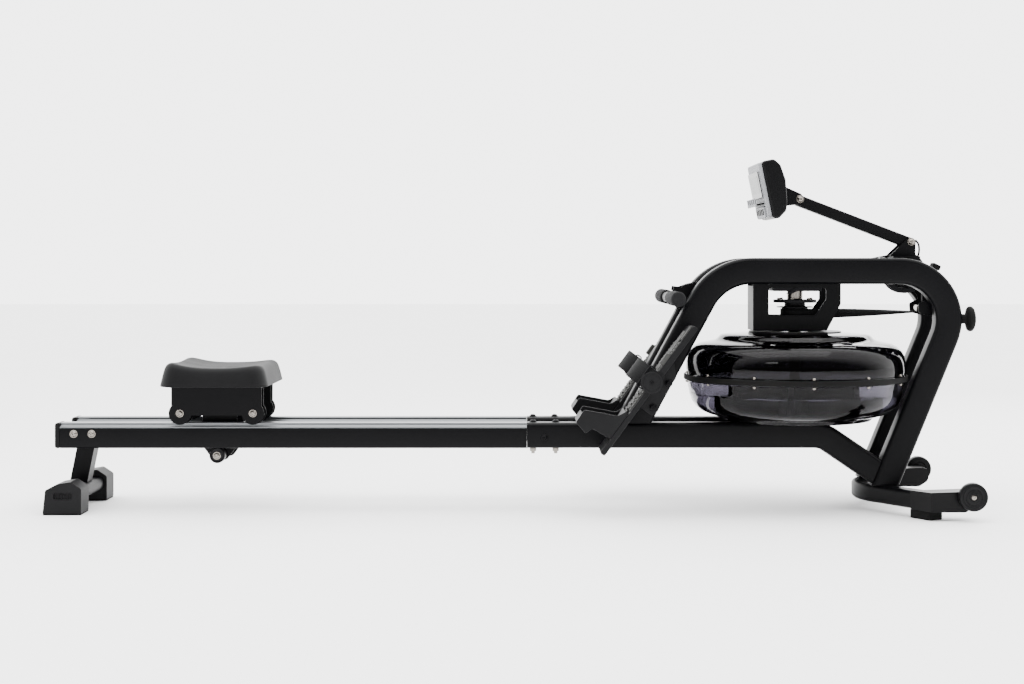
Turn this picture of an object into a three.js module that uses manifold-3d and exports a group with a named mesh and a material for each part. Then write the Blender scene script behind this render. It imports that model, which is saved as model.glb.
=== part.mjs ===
// Rowing machine with a water tank: twin seat rails, twin arch tubes round the tank,
// a strap drive, a folding console arm and two strapped footrests.
// Millimetres, +Z up. +X runs from the seat towards the tank, "right" is the -Y side.
// The origin is the middle of the footprint, on the floor.

import * as THREE from 'three';
import * as BufferGeometryUtils from 'three/addons/utils/BufferGeometryUtils.js';
import Module from 'manifold-3d';

const wasm = await Module();
wasm.setup();

// ---------------------------------------------------------------- driving dimensions

const gap = 0.3; // between pieces that touch
const runningGap = 0.4; // between a shaft and its bore

// Beam: seat rails at the back, black front beams at the front, both in pairs
const railSpacing = 143; // centre to centre, across
const tubeWidth = 48;
const beamTop = 203;
const beamHeight = 58;
const tubeWall = 2.5;
const tubeCorner = 8;
const railTubeHeight = 46;
const railRearEnd = -1026;
const couplingX = 41; // where rail and front beam meet
const spigotLength = 95;
const trackFlange = 3;
const trackCrownWidth = 26;
const trackCorner = 3;
const endCapDepth = 12;
const endCapCorner = 12;
const endCapPlug = 22;

// Rear leg and rear foot
const crossBeamX = [railRearEnd + 14, railRearEnd + 88];
const crossBeamZ = [156, 192];
const crossBeamWall = 3;
const legWidthX = 41;
const legWidthY = 44;
const legTop = { x: railRearEnd + 45, z: 165 };
const legFoot = { x: railRearEnd + 22, z: 52 };
const footTube = { x: railRearEnd + 26, z: 42, width: 60, height: 30, reach: 130 };
const footCapInner = 81;
const footCapOuter = 151;

// Arch tubes
const archDepth = 60;
const archTopZ = 550; // centre line of the top run
const rearLegAngle = 61.5;
const rearLegPoint = { x: 363.6, z: 336 };
const rearBendRadius = 130;
const postAngle = 67.8;
const postPoint = { x: 863, z: 66 };
const postBendRadius = 111;

// Front beam: where it bends down to the post, and how steeply
const frontBendX = 719;
const frontBendRadius = 70;
const frontSlope = 34.2;

// Front foot: one bent tube with caps, wheels and pads
const frontFootWidth = 45;
const frontFootZ = [20, 60];
const frontFootCorner = 10;
const frontFootApexX = 801;
const frontFootSpread = 0.659; // forward reach for each millimetre outwards
const frontFootBend = 126;
const frontFootReach = 222;
const wheelRadius = 31;
const wheelWidth = 22;
const wheelX = 1017;
const wheelZ = 56;
const wheelOuterY = 266;
const wheelAxleRadius = 6;
const padLength = 64;
const padWidth = 42;
const padCentreY = 194;
const bumperRadius = 29;
const bumperReach = 34;
const bumperZ = 440;

// Tank
const tankX = 668;
const tankFlangeRadius = 258;
const tankSeamZ = 303;
const tankWall = 4;
const tankTopZ = 408;
const shaftRadius = 12;
const shaftBore = 16;
const shaftTopZ = 492;
const paddleCount = 6;
const paddleRadius = 165;
const paddleZ = [224, 286];

// Drive bracket, drum, pulleys and strap
const bracketX = [564, 767];
const bracketZ = [tankTopZ + 4, 543];
const bracketClearance = 0.5; // to the arch tube on each side
const bracketPlate = 3;
const drumZ = [434, 467];
const drumFlangeRadius = 42;
const drumFlange = 2.5;
const drumRadius = 30;
const drumHubTop = 485;
const drumHubRadius = 24;
const drumPlateRadius = 50;
const drumPlateZ = [476, 483];
const strapWidth = 23;
const strapThickness = 2;
const pulleyCentre = { x: 921.5, z: 547 };
const pulleyRadius = 49;
const pulleyGroove = 44;
const pulleyHalfWidth = 15.5;
const guideCentre = { x: 957.8, z: 464 };
const guideRadius = 8;
const axleRadius = 6;

// Console
const armFoot = { x: 935.8, z: 617.8 };
const armHead = { x: 677.8, z: 717 };
const armThickness = 26;
const armDrop = 3; // how far the arm's middle lies below its two pins
const armHalfWidth = 12;
const pinRadius = 4;
const cheek = 4;
const consoleHalfWidth = 95;
const bezelDepth = 8;
const housingDepth = 2;
const screenDepth = 2;
const screenHalfWidth = 81;
const screenZ = [-15.5, 45.5]; // heights here are from the middle of the console's face
const keypadDepth = 4;
const keypadHalfWidth = 70;
const keypadZ = [-62, -36];
const ledgeZ = [-32, -27];
const ledgeReach = 29;
const ledgeLip = 13;
const ledgeHalfWidth = 70;

// Handle
const handleCentre = { x: 375, z: 488 };
const handleHalfLength = 228;
const handleTubeRadius = 12.5;
const gripRadius = 16.8;
const gripInner = 62;

// Seat
const seatX = -670;
const seatLength = 245;
const seatHalfWidth = 145;
const seatBottom = 287;
const seatCorner = 34;
const seatRim = 27; // how far the rounded rim comes in
const seatUndercut = 8; // how far the underside is set back from the skirt
const seatMiddle = 325;
const seatWing = 120; // the dish rises over this much of the half width
const seatWingRise = 5;
const seatRidge = 96; // the ridges stand this far from the middle
const seatRearRise = 13;
const seatFrontRise = 7;
const carriageHalfLength = 103.5;
const carriageTop = 285;
const rollerRadius = 20.7;
const rollerWidth = 22;
const rollerAxleX = 83.5; // from the seat centre
const rollerAxleRadius = 4;
const earRadius = 26;
const channelWidth = 33;
const channelInset = 1; // a roller runs this far inside its rail's middle
const hangerClearance = 5.5;
const hangerPlate = 4;
const keeperRadius = 18;
const keeperWidth = 24;
const keeperInset = 5.5;

// Footrests, laid out along their own slope
const footrestFoot = { x: 212, z: 141 };
const footrestHead = { x: 420, z: 423 };
const footrestOffset = 69.5; // from an arch tube's outer face to the footrest's middle
const footrestWidth = 110;
const footplateThickness = 12;
const solePadHeight = 6;
const heelStripHalfWidth = 26;
const heelStripHeight = 5;
const heelCheek = 5;
const footStrapAt = [172, 220];
const footStrapHeight = 64;
const footStrapThickness = 3.5;

// ---------------------------------------------------------------- values worked out

const railY = railSpacing / 2;
const beamBottom = beamTop - beamHeight;
const beamCentreZ = beamTop - beamHeight / 2;
const railTubeTop = beamBottom + railTubeHeight;
const archInner = railY - tubeWidth / 2;
const archOuter = railY + tubeWidth / 2;
const bracketHalfWidth = archInner - bracketClearance;
const footrestCentre = archOuter + footrestOffset;
const channelCentre = railY - channelInset;
const keeperCentre = railY - keeperInset;
const hangerOuter = archInner - hangerClearance;
const rearExtreme = footTube.x - 50;
const frontExtreme = archFrontX() + bumperReach;
const frameCentreX = (rearExtreme + frontExtreme) / 2;

function archFrontX() {
  const bendX = lineAtZ(postPoint, postAngle, archTopZ)
    - postBendRadius * Math.tan(degrees(180 - postAngle) / 2);
  return bendX + postBendRadius + archDepth / 2;
}

function degrees(angle) {
  return angle * Math.PI / 180;
}

// The X where a line through a point, at an angle above the horizontal, reaches height z
function lineAtZ(point, angle, z) {
  return point.x + (z - point.z) / Math.tan(degrees(angle));
}

// ---------------------------------------------------------------- shape helpers

function polygon(points) {
  return new THREE.Shape(points.map(([x, y]) => new THREE.Vector2(x, y)));
}

// A polygon whose corners are rounded; each point is [x, y] or [x, y, radius]
function roundedPolygon(points, radius = 0) {
  const shape = new THREE.Shape();
  points.forEach(([x, y, own], i) => {
    const corner = new THREE.Vector2(x, y);
    const before = new THREE.Vector2(...points.at(i - 1).slice(0, 2));
    const after = new THREE.Vector2(...points[(i + 1) % points.length].slice(0, 2));
    const toBefore = before.sub(corner);
    const toAfter = after.sub(corner);
    const half = Math.abs(toBefore.angleTo(toAfter)) / 2;
    const wanted = (own ?? radius) / Math.tan(half);
    const reach = Math.min(wanted, 0.48 * toBefore.length(), 0.48 * toAfter.length());
    const start = corner.clone().addScaledVector(toBefore.normalize(), reach);
    const end = corner.clone().addScaledVector(toAfter.normalize(), reach);
    if (i === 0) shape.moveTo(start.x, start.y);
    else shape.lineTo(start.x, start.y);
    if (reach > 0) shape.quadraticCurveTo(corner.x, corner.y, end.x, end.y);
  });
  shape.closePath();
  return shape;
}

function roundedRectangle(width, height, radius, x = 0, y = 0) {
  const right = width / 2;
  const top = height / 2;
  const corners = [[-right, -top], [right, -top], [right, top], [-right, top]];
  return roundedPolygon(corners.map(([px, py]) => [px + x, py + y]), radius);
}

function circle(x, y, radius) {
  const shape = new THREE.Shape();
  shape.absarc(x, y, radius, 0, 2 * Math.PI, false);
  return shape;
}

// A shape drawn in X and Z, made solid between two Y values
function extrudeY(shape, y0, y1, curveSegments = 2) {
  const low = Math.min(y0, y1);
  const high = Math.max(y0, y1);
  const geometry = new THREE.ExtrudeGeometry(shape,
    { depth: high - low, bevelEnabled: false, curveSegments });
  geometry.rotateX(Math.PI / 2);
  geometry.translate(0, high, 0);
  return solid(geometry);
}

// A shape drawn in Y and Z, made solid between two X values
function extrudeX(shape, x0, x1, curveSegments = 2) {
  const geometry = new THREE.ExtrudeGeometry(shape,
    { depth: x1 - x0, bevelEnabled: false, curveSegments });
  geometry.applyMatrix4(new THREE.Matrix4().makeBasis(
    new THREE.Vector3(0, 1, 0), new THREE.Vector3(0, 0, 1), new THREE.Vector3(1, 0, 0)));
  geometry.translate(x0, 0, 0);
  return solid(geometry);
}

// A shape drawn in X and Y, made solid between two Z values
function extrudeZ(shape, z0, z1, curveSegments = 2) {
  const geometry = new THREE.ExtrudeGeometry(shape,
    { depth: z1 - z0, bevelEnabled: false, curveSegments });
  geometry.translate(0, 0, z0);
  return solid(geometry);
}

function box(x0, x1, y0, y1, z0, z1) {
  const geometry = new THREE.BoxGeometry(x1 - x0, Math.abs(y1 - y0), z1 - z0);
  geometry.translate((x0 + x1) / 2, (y0 + y1) / 2, (z0 + z1) / 2);
  return solid(geometry);
}

function rodY(x, z, radius, y0, y1, segments = 16) {
  const geometry = new THREE.CylinderGeometry(radius, radius, Math.abs(y1 - y0), segments);
  geometry.translate(x, (y0 + y1) / 2, z);
  return solid(geometry);
}

// A closed profile of [radius, height] turned round a vertical axis
function turnedZ(profile, x, segments) {
  const points = profile.map(([radius, height]) => new THREE.Vector2(radius, height));
  const geometry = new THREE.LatheGeometry(points, segments);
  geometry.rotateX(Math.PI / 2);
  geometry.translate(x, 0, 0);
  return solid(geometry);
}

// A closed profile of [radius, offset along Y] turned round an axis along Y
function turnedY(profile, x, y, z, segments) {
  const points = profile.map(([radius, offset]) => new THREE.Vector2(radius, offset));
  const geometry = new THREE.LatheGeometry(points, segments);
  geometry.translate(x, y, z);
  return solid(geometry);
}

function solid(geometry) {
  const bare = geometry.clone();
  bare.deleteAttribute('normal');
  bare.deleteAttribute('uv');
  const merged = BufferGeometryUtils.mergeVertices(bare, 1e-4);
  const made = new wasm.Manifold(new wasm.Mesh({
    numProp: 3,
    vertProperties: new Float32Array(merged.attributes.position.array),
    triVerts: new Uint32Array(merged.index.array),
  }));
  if (made.volume() > 0) return made;
  const turned = merged.clone();
  const index = Array.from(merged.index.array);
  for (let i = 0; i < index.length; i += 3) [index[i], index[i + 1]] = [index[i + 1], index[i]];
  turned.setIndex(index);
  return solid(turned);
}

function joined(pieces) {
  return pieces.reduce((whole, piece) => whole.add(piece));
}

// A hollow or solid section carried along a path of straight runs and round bends.
// `place` turns the path's two coordinates into a point; `across` is the section's X axis.
function bentTube(section, corners, place, across, curveSegments = 2) {
  const path = [];
  corners.forEach((corner, i) => {
    const here = new THREE.Vector2(corner[0], corner[1]);
    const before = corners[i - 1];
    const after = corners[i + 1];
    if (!before || !after) {
      const [a, b] = before ? [before, corner] : [corner, after];
      path.push({ point: here, along: new THREE.Vector2(b[0] - a[0], b[1] - a[1]).normalize() });
      return;
    }
    const inward = new THREE.Vector2(corner[0] - before[0], corner[1] - before[1]).normalize();
    const outward = new THREE.Vector2(after[0] - corner[0], after[1] - corner[1]).normalize();
    const turn = Math.atan2(inward.cross(outward), inward.dot(outward));
    const reach = corner[2] * Math.tan(Math.abs(turn) / 2);
    const centre = here.clone().addScaledVector(inward, -reach)
      .addScaledVector(new THREE.Vector2(-inward.y, inward.x), Math.sign(turn) * corner[2]);
    const start = here.clone().addScaledVector(inward, -reach).sub(centre);
    const steps = Math.ceil(Math.abs(turn) / degrees(14.1));
    for (let k = 0; k <= steps; k++) {
      const angle = turn * k / steps;
      path.push({
        point: start.clone().rotateAround(new THREE.Vector2(), angle).add(centre),
        along: inward.clone().rotateAround(new THREE.Vector2(), angle),
      });
    }
  });
  const points = path.map(({ point }) => place(point.x, point.y));
  const tangents = path.map(({ along }) => place(along.x, along.y).sub(place(0, 0)));
  return sweep(section, points, tangents, points.map(() => across), curveSegments);
}

// A section carried through given points, with given tangents and section X axes
function sweep(section, points, tangents, normals, curveSegments = 2) {
  const curve = new THREE.Curve();
  curve.getPoint = (t) => points[Math.round(t * (points.length - 1))].clone();
  curve.getSpacedPoints = () => points;
  curve.computeFrenetFrames = () => ({
    tangents,
    normals,
    binormals: tangents.map((tangent, i) => tangent.clone().cross(normals[i])),
  });
  return solid(new THREE.ExtrudeGeometry(section,
    { steps: points.length - 1, extrudePath: curve, curveSegments }));
}

function tubeSection(width, height, corner, wall) {
  const section = roundedRectangle(width, height, corner);
  const inner = roundedRectangle(width - 2 * wall, height - 2 * wall, Math.max(corner - wall, 1));
  section.holes.push(inner);
  return section;
}

// ---------------------------------------------------------------- materials and scene

const finishes = {
  powderCoat: { color: 0x1a1a1c, roughness: 0.42, metalness: 0.3 },
  aluminium: { color: 0xa9abad, roughness: 0.35, metalness: 0.9 },
  plastic: { color: 0x232325, roughness: 0.55, metalness: 0 },
  darkPlastic: { color: 0x161618, roughness: 0.45, metalness: 0 },
  lightPlastic: { color: 0xc9cacc, roughness: 0.5, metalness: 0 },
  glass: { color: 0x0c0d10, roughness: 0.12, metalness: 0 },
  rubber: { color: 0x1b1b1b, roughness: 0.85, metalness: 0 },
  foam: { color: 0x454547, roughness: 0.95, metalness: 0 },
  seatSkin: { color: 0x2b2b2d, roughness: 0.8, metalness: 0 },
  polycarbonate: { color: 0x3a3a40, roughness: 0.08, metalness: 0 },
  webbing: { color: 0x1c1c1d, roughness: 0.9, metalness: 0 },
  roller: { color: 0x151515, roughness: 0.6, metalness: 0 },
  steel: { color: 0x8f8f90, roughness: 0.3, metalness: 1 },
};

const rowingMachine = new THREE.Group();
rowingMachine.position.x = -frameCentreX;

function add(name, shape, finish) {
  const mesh = shape.getMesh();
  const geometry = new THREE.BufferGeometry();
  const vertices = new Float32Array(mesh.vertProperties);
  geometry.setAttribute('position', new THREE.BufferAttribute(vertices, 3));
  geometry.setIndex(new THREE.BufferAttribute(new Uint32Array(mesh.triVerts), 1));
  geometry.computeVertexNormals();
  const piece = new THREE.Mesh(geometry, new THREE.MeshStandardMaterial(finishes[finish]));
  piece.name = name;
  rowingMachine.add(piece);
}

const sides = [{ name: 'right', sign: -1 }, { name: 'left', sign: 1 }];
const alongY = new THREE.Vector3(0, 1, 0);

// ---------------------------------------------------------------- arch tubes

const rearLegX = (z) => lineAtZ(rearLegPoint, rearLegAngle, z);
const postX = (z) => lineAtZ(postPoint, postAngle, z);

function archTube(sign) {
  const corners = [
    [rearLegX(beamTop - 20), beamTop - 20],
    [rearLegX(archTopZ), archTopZ, rearBendRadius],
    [postX(archTopZ), archTopZ, postBendRadius],
    [postX(frontFootZ[1] - 20), frontFootZ[1] - 20],
  ];
  const section = tubeSection(tubeWidth, archDepth, tubeCorner, tubeWall);
  const place = (x, z) => new THREE.Vector3(x, sign * railY, z);
  const middle = (rearLegPoint.x + postPoint.x) / 2;
  const underBeam = box(rearExtreme, middle, -archOuter - 1, archOuter + 1, -100, beamTop + gap);
  const underFoot = box(middle, wheelX + 200, -archOuter - 1, archOuter + 1,
    -100, frontFootZ[1] + gap);
  return bentTube(section, corners, place, alongY).subtract(underBeam).subtract(underFoot);
}

// ---------------------------------------------------------------- front beams

function frontBeam(sign) {
  const reach = 260;
  const endZ = beamCentreZ - reach * Math.sin(degrees(frontSlope));
  const corners = [
    [couplingX, beamCentreZ],
    [frontBendX, beamCentreZ, frontBendRadius],
    [frontBendX + reach * Math.cos(degrees(frontSlope)), endZ],
  ];
  const section = tubeSection(tubeWidth, beamHeight, tubeCorner, tubeWall);
  const place = (x, z) => new THREE.Vector3(x, sign * railY, z);
  const offset = archDepth / 2 / Math.sin(degrees(postAngle)) + gap;
  const pastPost = extrudeY(polygon([
    [postX(0) - offset, 0],
    [postX(0) + 400, 0],
    [postX(300) + 400, 300],
    [postX(300) - offset, 300],
  ]), -archOuter - 1, archOuter + 1);
  const underFoot = box(frontBendX, frontBendX + 400, -archOuter - 1, archOuter + 1,
    -100, frontFootZ[1] + gap);
  return bentTube(section, corners, place, alongY).subtract(pastPost).subtract(underFoot);
}

// ---------------------------------------------------------------- front foot

const footPlanX = (y) => frontFootApexX + frontFootSpread * Math.abs(y);

function frontFoot() {
  const height = frontFootZ[1] - frontFootZ[0];
  const corners = [
    [footPlanX(frontFootReach), -frontFootReach],
    [frontFootApexX, 0, frontFootBend],
    [footPlanX(frontFootReach), frontFootReach],
  ];
  const section = tubeSection(height, frontFootWidth, frontFootCorner, tubeWall);
  const middle = (frontFootZ[0] + frontFootZ[1]) / 2;
  const place = (x, y) => new THREE.Vector3(x, y, middle);
  const beyond = frontFootReach - 32;
  const inner = bentTube(section, corners, place, new THREE.Vector3(0, 0, 1));
  const trimRight = box(0, wheelX + 100, -frontFootReach - 80, -beyond, -50, 150);
  const trimLeft = box(0, wheelX + 100, beyond, frontFootReach + 80, -50, 150);
  return inner.subtract(trimRight).subtract(trimLeft);
}

// Moulded cap on each arm of the foot, with an ear that carries the wheel's axle
function frontEndCap(sign) {
  const inner = frontFootReach - 32 + gap;
  const outer = wheelOuterY - wheelWidth - 2;
  const start = footPlanX(inner) - 32;
  const shell = extrudeY(roundedPolygon([
    [start, frontFootZ[0], 5],
    [wheelX - 12, frontFootZ[0], 14],
    [wheelX + 9, wheelZ - 22, 12],
    [wheelX + 14, wheelZ + 6, 10],
    [wheelX - 6, wheelZ + 10, 8],
    [start, frontFootZ[1] + 2, 5],
  ]), sign * inner, sign * outer);
  const slopeCut = extrudeZ(polygon([
    [start - 1, sign * inner],
    [start + 34, sign * (outer + 1)],
    [start - 40, sign * (outer + 1)],
    [start - 40, sign * inner],
  ]), 0, 100);
  const axle = rodY(wheelX, wheelZ, wheelAxleRadius, sign * (outer - 6), sign * (wheelOuterY - 1));
  return shell.subtract(slopeCut).add(axle);
}

function transportWheel(sign) {
  const half = wheelWidth / 2;
  const rim = wheelRadius;
  const bore = wheelAxleRadius + runningGap;
  return turnedY([
    [bore, -half],
    [18, -half],
    [20, -half + 2],
    [rim - 4, -half],
    [rim, -half + 4],
    [rim, half - 4],
    [rim - 4, half],
    [20, half - 2],
    [18, half],
    [bore, half],
    [bore, -half],
  ], wheelX, sign * (wheelOuterY - half), wheelZ, 24);
}

function frontPad(sign) {
  const arm = new THREE.Vector2(frontFootSpread, 1).normalize();
  const side = new THREE.Vector2(arm.y, -arm.x);
  const corner = (u, v) => [
    footPlanX(padCentreY) + u * arm.x + v * side.x,
    sign * (padCentreY + u * arm.y + v * side.y),
  ];
  const half = padLength / 2;
  const wide = padWidth / 2;
  const plan = [corner(-half, -wide), corner(half, -wide), corner(half, wide), corner(-half, wide)];
  return extrudeZ(roundedPolygon(plan, 6), 0, frontFootZ[0] - gap);
}

// Mushroom-shaped rubber foot on the front of each arch, for standing the machine on end
function storageBumper(sign) {
  const profile = [
    [0, 0],
    [10, 0],
    [10, 12],
    [24, 15],
    [bumperRadius, 20],
    [bumperRadius, 26],
    [24, 32],
    [14, bumperReach],
    [0, bumperReach],
  ];
  const points = profile.map(([radius, height]) => new THREE.Vector2(radius, height));
  const geometry = new THREE.LatheGeometry(points, 18);
  geometry.rotateZ(-Math.PI / 2);
  geometry.translate(archFrontX() + gap, sign * railY, bumperZ);
  return solid(geometry).intersect(box(0, frontExtreme, -200, 200, 0, 1000));
}

// ---------------------------------------------------------------- seat rails

function railTube(sign) {
  const end = couplingX - gap;
  const face = end - 3;
  const inner = tubeCorner - tubeWall;
  const wide = tubeWidth - 2 * tubeWall;
  const high = railTubeHeight - 2 * tubeWall;
  const bar = (width, height, radius, x0, x1) => (
    extrudeX(roundedRectangle(width, height, radius), x0, x1)
      .translate([0, sign * railY, beamBottom + railTubeHeight / 2]));
  return bar(tubeWidth, railTubeHeight, tubeCorner - 3, railRearEnd, end)
    .add(bar(wide - 2 * gap, high - 2 * gap, inner, face, end + spigotLength))
    .subtract(bar(wide, high, inner / 2, railRearEnd - 1, face))
    .subtract(bar(wide - 10, high - 10, inner / 2, face - 1, end + spigotLength + 1));
}

function railTrack(sign) {
  const base = railTubeTop + gap;
  const shoulder = railTubeTop + trackFlange;
  const half = tubeWidth / 2;
  const crown = trackCrownWidth / 2;
  const profile = roundedPolygon([
    [-half, base],
    [half, base],
    [half, shoulder, 2],
    [crown, shoulder, 2],
    [crown, beamTop, trackCorner],
    [-crown, beamTop, trackCorner],
    [-crown, shoulder, 2],
    [-half, shoulder, 2],
  ]);
  return extrudeX(profile, railRearEnd, couplingX - gap).translate([0, sign * railY, 0]);
}

function railEndCap(sign) {
  const front = railRearEnd - gap;
  const back = railRearEnd - endCapDepth;
  const face = extrudeY(roundedPolygon([
    [front, beamBottom, 0],
    [front, beamTop, 0],
    [back, beamTop, endCapCorner],
    [back, beamBottom, endCapCorner],
  ]), sign * archInner, sign * archOuter, 4);
  const inset = 2 * (tubeWall + gap);
  const section = roundedRectangle(tubeWidth - inset, railTubeHeight - inset, endCapCorner / 3,
    sign * railY, beamBottom + railTubeHeight / 2);
  return face.add(extrudeX(section, front - 1, railRearEnd + endCapPlug));
}

// ---------------------------------------------------------------- rear leg and rear foot

function legBlock(inset, z0, z1) {
  const slope = (legTop.x - legFoot.x) / (legTop.z - legFoot.z);
  const xAt = (z) => legFoot.x + (z - legFoot.z) * slope;
  const half = legWidthX / 2 - inset;
  return extrudeY(polygon([
    [xAt(z0) - half, z0],
    [xAt(z0) + half, z0],
    [xAt(z1) + half, z1],
    [xAt(z1) - half, z1],
  ]), -legWidthY / 2 + inset, legWidthY / 2 - inset);
}

function stadium(grow) {
  const { x, z, width, height } = footTube;
  return roundedRectangle(width + 2 * grow, height + 2 * grow, height / 2 + grow, x, z);
}

function rearLeg() {
  const half = archInner - gap;
  const beam = box(...crossBeamX, -half, half, ...crossBeamZ);
  const hollow = box(crossBeamX[0] + crossBeamWall, crossBeamX[1] - crossBeamWall,
    -half - 1, half + 1, crossBeamZ[0] + crossBeamWall, crossBeamZ[1] - crossBeamWall);
  const leg = legBlock(0, legFoot.z, crossBeamZ[0] + 1);
  const legHollow = legBlock(tubeWall, legFoot.z - 5, crossBeamZ[0]);
  const seat = extrudeY(stadium(gap), -legWidthY, legWidthY, 8);
  return beam.subtract(hollow).add(leg.subtract(legHollow).subtract(seat));
}

function rearFootTube() {
  const outer = stadium(0);
  outer.holes.push(stadium(-tubeWall));
  return extrudeY(outer, -footTube.reach, footTube.reach, 5);
}

function rearFootCap(sign) {
  const x = footTube.x;
  const body = extrudeY(roundedPolygon([
    [x - 50, 0],
    [x + 37, 0],
    [x + 37, 59, 6],
    [x + 13, 75, 8],
    [x - 18, 70, 8],
    [x - 44.6, 56, 5],
  ]), sign * footCapInner, sign * footCapOuter);
  const pocket = extrudeY(stadium(gap), sign * (footCapInner - 1), sign * (footTube.reach + gap), 8);
  const hollow = box(x - 40, x + 28, sign * (footCapInner - 1), sign * (footCapInner + 18), 6, 40);
  const window = extrudeY(roundedRectangle(41, 14, 3, x - 4.5, 43),
    sign * (footCapOuter - 4), sign * (footCapOuter + 1));
  return body.subtract(pocket).subtract(hollow).subtract(window);
}

// ---------------------------------------------------------------- tank

function tankUpper() {
  const seam = tankSeamZ + gap;
  const outer = [
    [tankFlangeRadius, seam],
    [tankFlangeRadius, seam + 8],
    [tankFlangeRadius - 7, seam + 8],
    [253, 350],
    [245, 367],
    [225, 382],
    [190, 389],
    [178, 395],
    [170, tankTopZ - 6],
    [105, tankTopZ],
    [shaftBore, tankTopZ],
  ];
  const inner = [
    [shaftBore, tankTopZ - tankWall],
    [104, tankTopZ - tankWall],
    [167, tankTopZ - 10],
    [175, 391],
    [188, 385],
    [223, 378],
    [242, 364.5],
    [249, 349],
    [247, seam],
    [tankFlangeRadius, seam],
  ];
  return turnedZ([...outer, ...inner], tankX, 36);
}

function tankLower() {
  const seam = tankSeamZ - gap;
  const floor = beamTop + gap;
  const outer = [
    [0, floor],
    [176, floor],
    [183, 214.5],
    [206, 220],
    [233, 234],
    [244, 254],
    [252, 287],
    [tankFlangeRadius - 6, seam - 8],
    [tankFlangeRadius, seam - 8],
    [tankFlangeRadius, seam],
  ];
  const inner = [
    [247, seam],
    [248, 288],
    [240, 255.5],
    [230, 237],
    [205, 224],
    [180, 218],
    [173, floor + tankWall],
    [0, floor + tankWall],
  ];
  return turnedZ([...outer, ...inner], tankX, 36);
}

function impeller() {
  const shaft = turnedZ([
    [0, 212],
    [shaftRadius, 212],
    [shaftRadius, shaftTopZ],
    [0, shaftTopZ],
  ], tankX, 20);
  const hub = turnedZ([[0, 230], [34, 230], [34, 280], [0, 280]], tankX, 20);
  const blades = Array.from({ length: paddleCount }, (_, i) => (
    box(0, paddleRadius, -2, 2, ...paddleZ)
      .rotate([0, 0, 15 + i * 360 / paddleCount])
      .translate([tankX, 0, 0])
  ));
  return joined([shaft, hub, ...blades]);
}

// ---------------------------------------------------------------- drive

function driveBracket() {
  const [x0, x1] = bracketX;
  const [z0, z1] = bracketZ;
  const outline = () => roundedPolygon([
    [x0, z0, 3],
    [x1 - 32, z0, 3],
    [x1, z0 + 62, 3],
    [x1, z1, 3],
    [x0, z1, 3],
  ]);
  const side = outline();
  side.holes.push(roundedPolygon([
    [x0 + 36, z0 + 35, 6],
    [x1 - 60, z0 + 35, 6],
    [x1 - 34, z0 + 72, 6],
    [x1 - 34, z1 - 32, 6],
    [x0 + 36, z1 - 32, 6],
  ]));
  const half = bracketHalfWidth;
  const plates = sides.map(({ sign }) => (
    extrudeY(side, sign * (half - bracketPlate), sign * half)
  ));
  const base = box(x0, x1 - 32, -half, half, z0, z0 + 4);
  const bearing = turnedZ([
    [shaftRadius + runningGap, z0],
    [30, z0],
    [30, z0 + 10],
    [22, drumZ[0] - 3],
    [shaftRadius + runningGap, drumZ[0] - 3],
    [shaftRadius + runningGap, z0],
  ], tankX, 24);
  const bore = turnedZ([[0, z0 - 5], [25, z0 - 5], [25, z0 + 10], [0, z0 + 10]], tankX, 24);
  const endWall = box(x0, x0 + bracketPlate, -half, half, z0, drumHubTop + 30);
  const flanges = sides.map(({ sign }) => box(x0, x1, sign * half, sign * (half - 17), z1 - 4, z1));
  return joined([...plates, base.subtract(bore), bearing, endWall, ...flanges]);
}

function strapDrum() {
  const bore = shaftRadius + gap;
  const [z0, z1] = drumZ;
  return turnedZ([
    [bore, z0],
    [drumFlangeRadius, z0],
    [drumFlangeRadius, z0 + drumFlange],
    [drumRadius, z0 + drumFlange],
    [drumRadius, z1 - drumFlange],
    [drumFlangeRadius, z1 - drumFlange],
    [drumFlangeRadius, z1],
    [drumHubRadius, z1],
    [drumHubRadius, drumPlateZ[0]],
    [drumPlateRadius, drumPlateZ[0]],
    [drumPlateRadius, drumPlateZ[1]],
    [drumHubRadius, drumPlateZ[1]],
    [drumHubRadius, drumHubTop],
    [bore, drumHubTop],
    [bore, z0],
  ], tankX, 24);
}

function frontPulley() {
  const half = pulleyHalfWidth;
  const bore = axleRadius + runningGap;
  const groove = strapWidth / 2 + 1;
  return turnedY([
    [bore, -half],
    [pulleyRadius, -half],
    [pulleyGroove, -groove],
    [pulleyGroove, groove],
    [pulleyRadius, half],
    [bore, half],
    [bore, -half],
  ], pulleyCentre.x, 0, pulleyCentre.z, 28);
}

function guideRoller() {
  const half = pulleyHalfWidth;
  const bore = 3 + runningGap;
  return turnedY([
    [bore, -half],
    [guideRadius, -half],
    [guideRadius, half],
    [bore, half],
    [bore, -half],
  ], guideCentre.x, 0, guideCentre.z, 14);
}

// Cheeks between the arch tubes carry both pulley axles, with a guard across the front
function pulleyFrame() {
  const half = archInner - gap;
  const outline = roundedPolygon([
    [908, 552],
    [914, 562],
    [942, 562],
    [986, 526],
    [1005, 480],
    [1005, 446],
    [975, 446],
    [948, 452],
    [946, 474],
    [968, 484],
    [956, 508],
    [922, 532],
  ], 6);
  const cheeks = sides.map(({ sign }) => extrudeY(outline, sign * (half - 3.5), sign * half));
  const guard = extrudeY(polygon([
    [986, 524],
    [1004, 480],
    [1004, 447],
    [1001, 447],
    [1001, 479.4],
    [983.2, 522.8],
  ]), -half, half);
  const axle = rodY(pulleyCentre.x, pulleyCentre.z, axleRadius, -half, half);
  const pin = rodY(guideCentre.x, guideCentre.z, 3, -half, half);
  return joined([...cheeks, guard, axle, pin]);
}

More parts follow.
